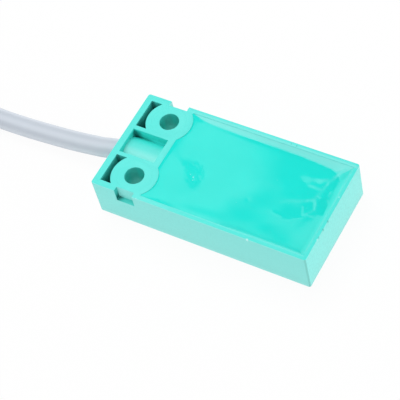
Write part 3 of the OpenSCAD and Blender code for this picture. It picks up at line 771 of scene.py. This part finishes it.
def enamelled_copper(colour):
    """Copper wire under clear enamel, seen turn beside turn."""
    g = Graph(bpy.data.materials.new("enamelled_copper"))
    at = g.place()
    turns = (g.axes(at)[2] * 40).sine()
    glow = g.noise(at, 1.5, 3)
    shade = g.blend(lighter(colour, -0.3), lighter(colour, 0.15), turns * 0.3 + glow * 0.6 + 0.1)
    return g.finish(shade, glow * 0.15 + 0.22, turns, 0.00002, metal=0.85, Coat_Weight=0.5)


def clear_selection():
    """Object mode with nothing selected."""
    if bpy.context.object and bpy.context.object.mode != "OBJECT":
        bpy.ops.object.mode_set(mode="OBJECT")
    bpy.ops.object.select_all(action="DESELECT")


def pick(*pieces):
    """Selects only these pieces; the first is the active one."""
    clear_selection()
    for piece in pieces:
        piece.select_set(True)
    bpy.context.view_layer.objects.active = pieces[0]


def start(name):
    """Names the primitive that was just added."""
    piece = bpy.context.object
    piece.name = piece.data.name = name
    return piece


def block(at, size):
    """A block in millimetres, with its place in its mesh."""
    clear_selection()
    bpy.ops.mesh.primitive_cube_add(size=1, location=Vector(at) * MM)
    piece = bpy.context.object
    piece.scale = Vector(size) * MM
    pick(piece)
    bpy.ops.object.transform_apply(location=True, rotation=True, scale=True)
    return piece


def edit_all(piece):
    """Edit mode on the piece, with all of its mesh selected."""
    pick(piece)
    bpy.ops.object.mode_set(mode="EDIT")
    bpy.ops.mesh.select_all(action="SELECT")


def modify(piece, kind, **settings):
    """Adds a modifier and applies it."""
    pick(piece)
    modifier = piece.modifiers.new(kind.lower(), kind)
    for name, value in settings.items():
        setattr(modifier, name, value)
    bpy.ops.object.modifier_apply(modifier=modifier.name)
    return piece


def merged_copy(node, name):
    """A copy of a CAD node with its loose triangles joined and its flat faces made whole."""
    piece = bpy.data.objects.new(name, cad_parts[node].data.copy())
    piece.data.name = name
    piece.data.materials.clear()
    bpy.context.scene.collection.objects.link(piece)
    edit_all(piece)
    bpy.ops.mesh.remove_doubles(threshold=SOLID_MERGE)
    bpy.ops.mesh.customdata_custom_splitnormals_clear()
    bpy.ops.mesh.dissolve_limited(angle_limit=math.radians(FLAT_ANGLE))
    bpy.ops.object.mode_set(mode="OBJECT")
    return piece


def rounded(piece, width, segments=2):
    """Rounds the piece's edges and smooths its shading."""
    modify(piece, "BEVEL", width=width, segments=segments, limit_method="ANGLE",
           angle_limit=math.radians(BEVEL_ANGLE), harden_normals=False, use_clamp_overlap=True)
    return smooth(piece)


def smooth(piece, angle=SMOOTH_ANGLE):
    """Smooth shading across edges flatter than angle."""
    pick(piece)
    bpy.ops.object.shade_smooth_by_angle(angle=math.radians(angle))
    return piece


def note(mesh, name, values):
    """Keeps a value at each point of a mesh, for its material."""
    mesh.attributes.new(name, "FLOAT", "POINT").data.foreach_set("value", values.astype(np.float32))


def place_piece(piece, material, slot, *nodes):
    """Gives the piece its material and lets it stand for CAD nodes; slot is not used."""
    piece.data.materials.clear()
    piece.data.materials.append(material)
    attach(piece, "root")
    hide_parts(*nodes)


def mix(a, b, share):
    """Between a and b."""
    return a + (b - a) * share


def ease(t):
    """Smooth from 0 to 1."""
    s = np.clip(t, 0, 1)
    return s * s * (3 - 2 * s)


def lead_path():
    """The route's points from the housing to the hank, in millimetres."""
    return [Vector((TAIL_X - out, aside, mix(CABLE_AXIS_H, CABLE_D / 2, drop)))
            for out, aside, drop in LEAD_ROUTE]


def hank_at():
    """Middle of the hank on the floor, in millimetres."""
    return lead_path()[-1] - Vector((CABLE_D + RUN_L / 2, OUTER_R + LOOP_STEP * FIRST_TURN, CABLE_D / 2))


def waist(x):
    """How far the tie pulls the runs together at x, from 0 to 1."""
    return math.cos(math.pi * x / RUN_L) ** 2 if abs(x) < RUN_L / 2 else 0


def hank_r(turn):
    """Distance of the strand from the hank's middle line: each layer goes in or out by turns."""
    share = (turn - FIRST_TURN) / LOOPS_PER_LAYER
    layer = min(max(math.floor(share), 0), LAYERS - 1)
    inside = share - layer
    return mix(FOLD_R, OUTER_R, 1 - inside if layer % 2 == 0 else inside)


def hank_point(turn, r, z):
    """A point of the hank: two straight runs with a waist and two round folds to each turn."""
    part = TURN_PARTS * (turn - math.floor(turn))
    q = math.floor(part)
    p = part - q
    side = 1 if q < 2 else -1
    if q % 2 == 0:
        x = side * (RUN_L / 2 - RUN_L * p)
        y = side * (r - WAIST_IN * waist(x))
    else:
        angle = math.radians(90 + 180 * p)
        x, y = side * (r * math.cos(angle) - RUN_L / 2), side * r * math.sin(angle)
    return hank_at() + Vector((x, y, z + TIE_LIFT * waist(x)))


def strand_at(turn):
    """The cable's centre line in the hank."""
    level = sum(float(ease((turn - LOOPS_PER_LAYER * k) * TURN_PARTS)) for k in range(1, LAYERS))
    return hank_point(turn, hank_r(turn), CABLE_D / 2 + LAYER_STEP * level)


def cable_line():
    """The whole centre line in millimetres: the lead on a smooth curve through its points, then the hank."""
    turns = []
    for q in range(LAST_RUN):
        rings = RUN_RINGS if q % 2 == 0 else FOLD_RINGS
        turns += [(q + i / rings) / TURN_PARTS for i in range(rings)]
    turns += [(LAST_RUN + END_SHARE * i / RUN_RINGS) / TURN_PARTS for i in range(RUN_RINGS + 1)]
    hank = [strand_at(turn) for turn in turns]
    knots = [2 * lead_path()[0] - lead_path()[1], *lead_path(), hank[0], hank[1]]
    lead = []
    for i in range(1, len(knots) - 2):
        a, b, c, d = knots[i - 1:i + 3]
        for k in range(LEAD_STEPS):
            t = k / LEAD_STEPS
            lead.append(0.5 * (2 * b + (c - a) * t + (2 * a - 5 * b + 4 * c - d) * t ** 2
                               + (3 * b - a - 3 * c + d) * t ** 3))
    return lead + hank


def wire_line(place):
    """A wire's line past the end of the jacket, easing down to the strand below, in millimetres."""
    angle, lane_side = math.radians(place[0]), place[1]
    aside, up = WIRE_OUT * math.cos(angle), WIRE_OUT * math.sin(angle)
    end, before = strand_at(END_TURN), strand_at(END_TURN - 1 / (TURN_PARTS * RUN_RINGS))
    ahead = (end - before).normalized()
    begin = end + aside * ahead.cross(Vector((0, 0, 1))).normalized() + Vector((0, 0, up))
    wire_d = bpy.context.scene.sensor_sizes.wire_diameter / MM
    drop = LAYER_STEP - (CABLE_D + wire_d) / 2 - WIRE_REST
    line = [begin, begin + wire_d * ahead]
    for i in range(2, WIRE_RINGS + 1):
        share = float(ease(WIRE_EASE * i / WIRE_RINGS))
        turn = END_TURN + WIRE_TURN * i / WIRE_RINGS
        lane = hank_r(turn - WIRE_LANE) + WIRE_FAN * lane_side
        wide = mix(hank_r(turn) + aside, lane, share)
        line.append(hank_point(turn, wide, CABLE_D / 2 + LAYER_STEP * (LAYERS - 1) + mix(up, -drop, share)))
    return line


def drawn_curve(name, points, closed=False):
    """A curve through points in metres."""
    curve = bpy.data.curves.new(name, "CURVE")
    curve.dimensions = "3D"
    curve.twist_mode = "Z_UP"
    spline = curve.splines.new("POLY")
    spline.points.add(len(points) - 1)
    for point, at in zip(spline.points, points):
        point.co = (*at, 1)
    spline.use_cyclic_u = closed
    piece = bpy.data.objects.new(name, curve)
    bpy.context.scene.collection.objects.link(piece)
    return piece


def as_mesh(piece):
    """Makes a curve a mesh with whole, outward faces."""
    piece.data.use_fill_caps = True
    pick(piece)
    bpy.ops.object.convert(target="MESH")
    edit_all(piece)
    bpy.ops.mesh.remove_doubles(threshold=TUBE_MERGE)
    bpy.ops.mesh.normals_make_consistent(inside=False)
    bpy.ops.object.mode_set(mode="OBJECT")
    return piece


def drawn_tube(name, points, diameter, resolution):
    """A round tube along points in metres, as a mesh."""
    tube = drawn_curve(name, points)
    tube.data.bevel_depth = diameter / 2
    tube.data.bevel_resolution = resolution
    return as_mesh(tube)


def joined(name, pieces):
    """Joins pieces into one."""
    pick(*pieces)
    bpy.ops.object.join()
    return start(name)


def tinned_strands(name, begin, ahead, strand_d):
    """A bare wire tip: a middle strand with six laid round it."""
    aside = ahead.cross(Vector((0, 0, 1))).normalized()
    up = aside.cross(ahead)
    strands = []
    for s in range(STRANDS + 1):
        out = 0 if s == STRANDS else strand_d
        line = []
        for i in range(STRAND_STEPS + 1):
            along = TIP_L * MM * (i / STRAND_STEPS - STRAND_SUNK)
            angle = math.tau * (s / STRANDS + along / (STRAND_LAY * MM))
            line.append(begin + along * ahead + out * (math.cos(angle) * aside + math.sin(angle) * up))
        strands.append(drawn_tube(f"{name}_{s}", line, strand_d, 1))
    return joined(name, strands)


def off_line(x, y, ax, ay, bx, by):
    """Share along a line from a to b, and distance from it."""
    along = np.clip(((x - ax) * (bx - ax) + (y - ay) * (by - ay)) / ((bx - ax) ** 2 + (by - ay) ** 2), 0, 1)
    return along, np.hypot(x - mix(ax, bx, along), y - mix(ay, by, along))


def run_out(away, reach):
    """Falls from 1 at a wall to 0 at reach."""
    return np.clip(1 - away / reach, 0, 1) ** 2


def rises(away, rows):
    """Sum of rises at a wall, each a height and its reach."""
    return sum(tall * run_out(away, reach) for tall, reach in rows)


def swell_height(x, y):
    """Slow swells: each slopes in the way of the dark side and dies away with distance."""
    total = np.zeros_like(x)
    for (cx, cy), (reach, width), turn, slope in SWELLS:
        c, s = math.cos(math.radians(turn)), math.sin(math.radians(turn))
        out = (((x - cx) * c + (y - cy) * s) / reach) ** 2 + (((y - cy) * c - (x - cx) * s) / width) ** 2
        total += slope * (DARK_WAY[0] * (x - cx) + DARK_WAY[1] * (y - cy)) * np.exp(-out)
    return total


def film_share(x, y, long_wall, nose):
    """Share of the film, a paler painted reflection and a duller surface, on the far, near and nose walls and
    in the webs.
    """
    far = np.clip((1 - long_wall) / np.interp(x, *FAR_FADE), 0, 1) * mix(1, FAR_EDGE, long_wall)
    far = far * ease(((CHAMBER_X[1] - x) * MITRE_SLOPE - (CHAMBER_Y - y)) / MITRE_SOFT)
    strip = STRIP * ease((STRIP_END[0] - nose) / STRIP_END[1]) + STRIP_HAZE * (1 - nose)
    near = np.maximum(np.interp(x, *NEAR_FADE) * (1 - long_wall) ** NEAR_FADE_POWER, strip)
    near = near * ease(np.hypot(CHAMBER_X[1] - x, CHAMBER_Y + y) / BARE_CORNER_R)
    film = np.where(y > 0, np.maximum(far, strip), near)
    for line, width in WEBS:
        for (ax, ay, a), (bx, by, b) in zip(line, line[1:]):
            along, away = off_line(x, y, ax, ay, bx, by)
            film = np.maximum(film, mix(a, b, along) * np.exp(-(away / width) ** 2))
    return film


def film_and_height(x, y, sizes):
    """Share of the film, a paler painted reflection and a duller surface, and height of the resin in
    millimetres, at places on the chamber's plan.
    """
    high, low, top = (v / MM for v in (sizes.resin_high, sizes.resin_low, sizes.film_top))
    fill = mix(high, low, (x - CHAMBER_X[0]) / (CHAMBER_X[1] - CHAMBER_X[0]))
    level = fill + swell_height(x, y)
    film_w = np.where(y > 0, np.interp(x, *FAR_FILM), np.interp(x, *NEAR_FILM))
    long_wall = np.clip((CHAMBER_Y - np.abs(y)) / film_w, 0, 1)
    nose = np.clip((CHAMBER_X[1] - x) / NOSE_FILM, 0, 1)
    boss = np.hypot(x - BOSS_AT[0], np.abs(y) - BOSS_AT[1]) - BOSS_R
    far = (top - fill) * (1 - long_wall) * (1 - FAR_BEND * long_wall)
    near = np.clip(top - CLIMB_SHORT - level, 0, None) * (1 - long_wall) ** NEAR_POWER
    near = np.maximum(near, np.interp(x, *NEAR_RISE) * run_out(CHAMBER_Y + y, NEAR_RISE_REACH))
    climb = np.maximum(np.where(y > 0, far, near),
                       np.clip(top - CLIMB_SHORT - fill, 0, None) * (1 - nose) ** NOSE_POWER)
    climb = np.maximum(climb, np.maximum(rises(x - CHAMBER_X[0], BRIDGE_RISES), rises(boss, BOSS_RISES)))
    height = level + climb
    height -= np.where(y > 0, GROOVE[0] * np.exp(-((CHAMBER_Y - y - film_w) / GROOVE[1]) ** 2), 0)
    limit = top + LIMIT_OVER
    limited = limit - LIMIT_SOFT * np.log1p(np.exp((limit - height) / LIMIT_SOFT))
    height = mix(height, limited, ease((LIMIT_FROM - y) / LIMIT_STRETCH))
    for (ax, ay), (bx, by), width, tall in FILAMENTS:
        height += tall * np.exp(-(off_line(x, y, ax, ay, bx, by)[1] / width) ** 2)
    for (cx, cy), radius, depth in DIMPLES:
        height -= depth * np.exp(-((x - cx) ** 2 + (y - cy) ** 2) / radius ** 2)
    return film_share(x, y, long_wall, nose), height


class SENSOR_OT_stage(bpy.types.Operator):
    """Camera, plain floor, white surround and soft light"""

    bl_idname = "sensor.stage"
    bl_label = "Stage"

    def execute(self, context):
        scene = context.scene
        settings = scene.sensor_stage
        scene.camera = self.camera()
        scene.view_settings.view_transform = "Standard"
        self.floor(settings)
        scene.world = scene.world or bpy.data.worlds.new("surround")
        self.surround(scene.world, settings)
        self.lamp(settings)
        return {"FINISHED"}

    def camera(self):
        """The camera at its place, turned by its three axes."""
        clear_selection()
        bpy.ops.object.camera_add()
        camera = start("camera")
        camera.data.lens = CAMERA_LENS
        camera.data.sensor_width = CAMERA_FILM
        camera.data.clip_start = CAMERA_CLIP
        turn = Matrix((CAMERA_RIGHT, -Vector(CAMERA_DOWN), -Vector(CAMERA_AHEAD))).transposed().to_4x4()
        camera.matrix_world = Matrix.Translation(CAMERA_AT) @ turn
        return camera

    def floor(self, settings):
        """A plain floor that shows white, with a faint shadow."""
        clear_selection()
        bpy.ops.mesh.primitive_plane_add(size=FLOOR_SIZE)
        floor = start("floor")
        g = Graph(bpy.data.materials.new("floor_paper"))
        seen = self.seen(g)
        paper = g.noise(g.place(), 0.05, 3)
        shade = g.blend(lighter(settings.floor, -0.02), lighter(settings.floor, 0.02), paper)
        lit = g.add("ShaderNodeBsdfDiffuse", None, {"Color": shade})
        white = g.add("ShaderNodeEmission", None, {"Color": (1, 1, 1, 1), "Strength": 1})
        glow = seen * (1 - settings.floor_shade) + (1 - seen) * settings.floor_glow
        both = g.add("ShaderNodeMixShader", None, {0: glow, 1: lit, 2: white})
        g.add("ShaderNodeOutputMaterial", None, {"Surface": both})
        floor.data.materials.append(g.owner)

    def surround(self, world, settings):
        """A room that shows white, lights from all round, and has a dark side in gloss."""
        g = Graph(world)
        seen = self.seen(g)
        glossy = g.add("ShaderNodeLightPath", None, None, "Is Glossy Ray")
        x, y, z = g.axes(g.add("ShaderNodeTexCoord", None, None, "Generated"))
        tilt = (DARK_WAY[0] * x + DARK_WAY[1] * y) / z.most(DARK_LEAST)
        dark = tilt.step(*DARK_TILT) * z.step(*DARK_RISE)
        low = 1 - z.most(0)
        fill = (settings.sky + settings.horizon * low + LOW_LIGHT * x.most(0) * low) * (1 - dark * DARK_FILL)
        mirrored = (x / z.most(DIM_LEAST)).step(*DIM_TILT) * (1 - DIM_LEVEL) + DIM_LEVEL
        level = seen * (1 - glossy + glossy * mirrored * (1 - dark * settings.shade)) + (1 - seen) * fill
        light = g.add("ShaderNodeBackground", None, {"Color": (1, 1, 1, 1), "Strength": level})
        g.add("ShaderNodeOutputWorld", None, {"Surface": light})

    def lamp(self, settings):
        """A soft box overhead that gloss doesn't show."""
        clear_selection()
        turn = (-Vector(LAMP_AT)).to_track_quat("-Z", "Y").to_euler()
        bpy.ops.object.light_add(type="AREA", location=LAMP_AT, rotation=turn)
        lamp = start("soft_box")
        lamp.data.shape = "DISK"
        lamp.data.size = LAMP_SIZE
        lamp.data.energy = settings.lamp
        lamp.visible_glossy = False

    def seen(self, g):
        """1 for rays from the camera and for those mirrored or let through."""
        rays = [g.add("ShaderNodeLightPath", None, None, name)
                for name in ("Is Camera Ray", "Is Glossy Ray", "Is Transmission Ray")]
        return rays[0].most(rays[1]).most(rays[2])


class SENSOR_OT_hank_tie(bpy.types.Operator):
    """Nylon tie round the waist of the hank: ribbed band, head and cut tail"""

    bl_idname = "sensor.hank_tie"
    bl_label = "Hank tie"

    def execute(self, context):
        colours = context.scene.sensor_colours
        tie = rounded(merged_copy("hank_tie", "nylon_tie"), TIE_ROUND * MM)
        at = hank_at()
        ribs = []
        for k in range(RIB_COUNT):
            for side in (-1, 1):
                y = side * (RIB_FROM + RIB_PITCH * k)
                if RIB_STRETCH[0] < y < RIB_STRETCH[1]:
                    ribs.append(block((at.x, at.y + y, TIE_TOP + TIE_T), RIB_SIZE))
        cutter = joined("rib_cutter", ribs)
        modify(tie, "BOOLEAN", object=cutter, operation="DIFFERENCE", solver="EXACT")
        bpy.data.objects.remove(cutter)
        tail = rounded(block((at.x, at.y + TAIL_Y, TIE_TOP + TAIL_UP), TAIL_SIZE), TAIL_ROUND * MM)
        tie = smooth(joined("nylon_tie", [tie, tail]))
        place_piece(tie, tie_nylon(colours.tie), "tie_nylon", "hank_tie")
        return {"FINISHED"}


class SENSOR_OT_wire_ends(bpy.types.Operator):
    """Three insulated wires past the end of the jacket, with tinned tips"""

    bl_idname = "sensor.wire_ends"
    bl_label = "Wire ends"

    def execute(self, context):
        sizes, colours = context.scene.sensor_sizes, context.scene.sensor_colours
        tips = []
        for name, place in WIRE_PLACES.items():
            line = [point * MM for point in wire_line(place)]
            wire = smooth(drawn_tube(f"{name}_flying_wire", line, sizes.wire_diameter, 3))
            finish = plain_insulation(f"{name}_insulation", getattr(colours, name))
            place_piece(wire, finish, f"{name}_insulation", f"{name}_wire_end")
            ahead = (line[-1] - line[-2]).normalized()
            tips.append(tinned_strands(f"{name}_tip", line[-1], ahead, sizes.strand_diameter))
        tip = smooth(joined("tinned_strand_tips", tips))
        place_piece(tip, tinned_metal("tinned_strands", colours.tin), "solder", "tinned_tips")
        return {"FINISHED"}


class SENSOR_OT_cable(bpy.types.Operator):
    """The whole cable: out of the housing, down to the floor and into the tied hank"""

    bl_idname = "sensor.cable"
    bl_label = "Cable"

    def execute(self, context):
        sizes = context.scene.sensor_sizes
        outline = []
        for k in range(JACKET_SIDES):
            angle = math.tau * k / JACKET_SIDES
            out = sizes.cable_diameter / 2 - sizes.jacket_lobe * (1 - math.cos(JACKET_LOBES * angle)) / 2
            outline.append(Vector((out * math.cos(angle), out * math.sin(angle), 0)))
        profile = drawn_curve("jacket_outline", outline, closed=True)
        line = [point * MM for point in cable_line()]
        cable = drawn_curve("sensor_cable", line)
        cable.data.bevel_mode = "OBJECT"
        cable.data.bevel_object = profile
        gone, last = 0, line[0]
        for point, at in zip(cable.data.splines[0].points, line):
            gone, last = gone + (at - last).length, at
            point.tilt = math.tau * gone / sizes.jacket_twist
        cable = as_mesh(cable)
        bpy.data.objects.remove(profile)
        around = np.arange(len(cable.data.vertices)) % JACKET_SIDES / JACKET_SIDES
        # Painted reflection bands along the jacket, for its material
        bands = np.cos(math.tau * (JACKET_REFLECTION_BANDS * around - REFLECTION_BAND_AT))
        note(cable.data, "round", np.abs(around * 2 - 1))
        note(cable.data, "band", bands)
        smooth(cable, JACKET_SMOOTH)
        finish = jacket_plastic(context.scene.sensor_colours.jacket)
        place_piece(cable, finish, "jacket", "cable_lead", "cable_hank")
        length = sum((b - a).length for a, b in zip(line, line[1:]))
        return {"FINISHED"}


class SENSOR_OT_housing(bpy.types.Operator):
    """The moulded housing with rounded edges"""

    bl_idname = "sensor.housing"
    bl_label = "Housing"

    def execute(self, context):
        scene = context.scene
        colours = scene.sensor_colours
        shell = rounded(merged_copy("housing", "moulded_housing"), scene.sensor_sizes.edge_round, 3)
        place_piece(shell, housing_plastic(colours), "housing_plastic", "housing")
        return {"FINISHED"}


class SENSOR_OT_resin(bpy.types.Operator):
    """Casting resin: the block round the parts and its wavy top that climbs the walls"""

    bl_idname = "sensor.resin"
    bl_label = "Resin"

    def execute(self, context):
        sizes, colours = context.scene.sensor_sizes, context.scene.sensor_colours
        body = merged_copy("potting_resin", "resin_block")
        edit_all(body)
        bpy.ops.mesh.bisect(plane_co=(0, 0, CAP_Z * MM), plane_no=(0, 0, 1), use_fill=True, clear_outer=True)
        bpy.ops.object.mode_set(mode="OBJECT")
        resin = smooth(joined("cast_resin", [self.cap(sizes), body]), RESIN_SMOOTH)
        place_piece(resin, casting_resin(colours.resin, colours.film), "resin", "potting_resin")
        return {"FINISHED"}

    def cap(self, sizes):
        """The top of the resin as a closed slab on the cut block."""
        clear_selection()
        bpy.ops.mesh.primitive_grid_add(x_subdivisions=CAP_STEPS[0], y_subdivisions=CAP_STEPS[1], size=2)
        cap = start("resin_top")
        mesh = cap.data
        places = np.empty(len(mesh.vertices) * 3)
        mesh.vertices.foreach_get("co", places)
        places = places.reshape(-1, 3)
        y = places[:, 1] * CHAMBER_Y
        inside = np.clip(BOSS_R ** 2 - (np.abs(y) - BOSS_AT[1]) ** 2, 0, None)
        begin = np.maximum(CHAMBER_X[0], BOSS_AT[0] + np.sqrt(inside))
        x = mix(begin, CHAMBER_X[1], (places[:, 0] + 1) / 2)
        film, height = film_and_height(x, y, sizes)
        mesh.vertices.foreach_set("co", (np.stack([x, y, height], 1) * MM).ravel())
        # Share of the film, a painted reflection, for the resin's material
        note(mesh, "film", film)
        mesh.update()
        edit_all(cap)
        bpy.ops.mesh.extrude_region_move()
        grid = bmesh.from_edit_mesh(mesh)
        for vertex in grid.verts:
            if vertex.select:
                vertex.co.z = CAP_Z * MM
        bmesh.update_edit_mesh(mesh)
        bpy.ops.mesh.select_all(action="SELECT")
        bpy.ops.mesh.normals_make_consistent(inside=False)
        bpy.ops.object.mode_set(mode="OBJECT")
        return cap


class SENSOR_OT_inside_parts(bpy.types.Operator):
    """Finishes of the parts inside the housing"""

    bl_idname = "sensor.inside_parts"
    bl_label = "Inside parts"

    def execute(self, context):
        colours = context.scene.sensor_colours
        chip = plain_insulation("chip_body", colours.chip, 0.5)
        capacitor = fired_ceramic("capacitor_body", colours.capacitor, 0.35)
        copper = enamelled_copper(colours.copper)
        finishes = {
            "circuit_board": board_laminate(colours.board),
            "ferrite_core": fired_ceramic("ferrite_body", colours.ferrite, 0.55),
            "coil_bobbin": plain_insulation("bobbin_plastic", colours.bobbin),
            "coil_winding": copper,
            "coil_lead_wires": copper,
            "sensor_chip": chip,
            "output_transistor": chip,
            "voltage_regulator": chip,
            "protection_diodes": chip,
            "tuning_capacitor": capacitor,
            "chip_capacitors": capacitor,
            "chip_resistors": fired_ceramic("resistor_body", colours.resistor, 0.3),
            "solder_joints": tinned_metal("solder_metal", colours.tin),
            "cable_jacket": bpy.data.materials["jacket_plastic"],
            **{f"{name}_wire": bpy.data.materials[f"{name}_insulation"] for name in WIRE_PLACES},
        }
        for node, finish in finishes.items():
            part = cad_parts[node]
            part.data.materials.clear()
            part.data.materials.append(finish)
        return {"FINISHED"}


PIECES = (SENSOR_OT_stage, SENSOR_OT_hank_tie, SENSOR_OT_wire_ends, SENSOR_OT_cable, SENSOR_OT_housing,
          SENSOR_OT_resin, SENSOR_OT_inside_parts)


class SENSOR_PT_pieces(bpy.types.Panel):
    """Lists the sensor's pieces, sizes and colours"""

    bl_idname = "SENSOR_PT_pieces"
    bl_label = "Proximity Sensor"
    bl_space_type = "VIEW_3D"
    bl_region_type = "UI"
    bl_category = "Sensor"

    def draw(self, context):
        scene = context.scene
        for piece in PIECES:
            self.layout.operator(piece.bl_idname)
        for group in (scene.sensor_sizes, scene.sensor_colours, scene.sensor_stage):
            box = self.layout.box()
            for name in group.__annotations__:
                box.prop(group, name)


CLASSES = (SensorSizes, SensorColours, SensorStage, *PIECES, SENSOR_PT_pieces)


def register():
    """Adds the classes and the scene's settings."""
    for cls in CLASSES:
        bpy.utils.register_class(cls)
    bpy.types.Scene.sensor_sizes = bpy.props.PointerProperty(type=SensorSizes)
    bpy.types.Scene.sensor_colours = bpy.props.PointerProperty(type=SensorColours)
    bpy.types.Scene.sensor_stage = bpy.props.PointerProperty(type=SensorStage)


def unregister():
    """Takes them away again."""
    del bpy.types.Scene.sensor_stage, bpy.types.Scene.sensor_colours, bpy.types.Scene.sensor_sizes
    for cls in reversed(CLASSES):
        bpy.utils.unregister_class(cls)


def main():
    """Makes the stage and the pieces in order."""
    register()
    bpy.ops.sensor.stage()
    bpy.ops.sensor.hank_tie()
    bpy.ops.sensor.wire_ends()
    bpy.ops.sensor.cable()
    bpy.ops.sensor.housing()
    bpy.ops.sensor.resin()
    bpy.ops.sensor.inside_parts()


if __name__ == "__main__":
    main()
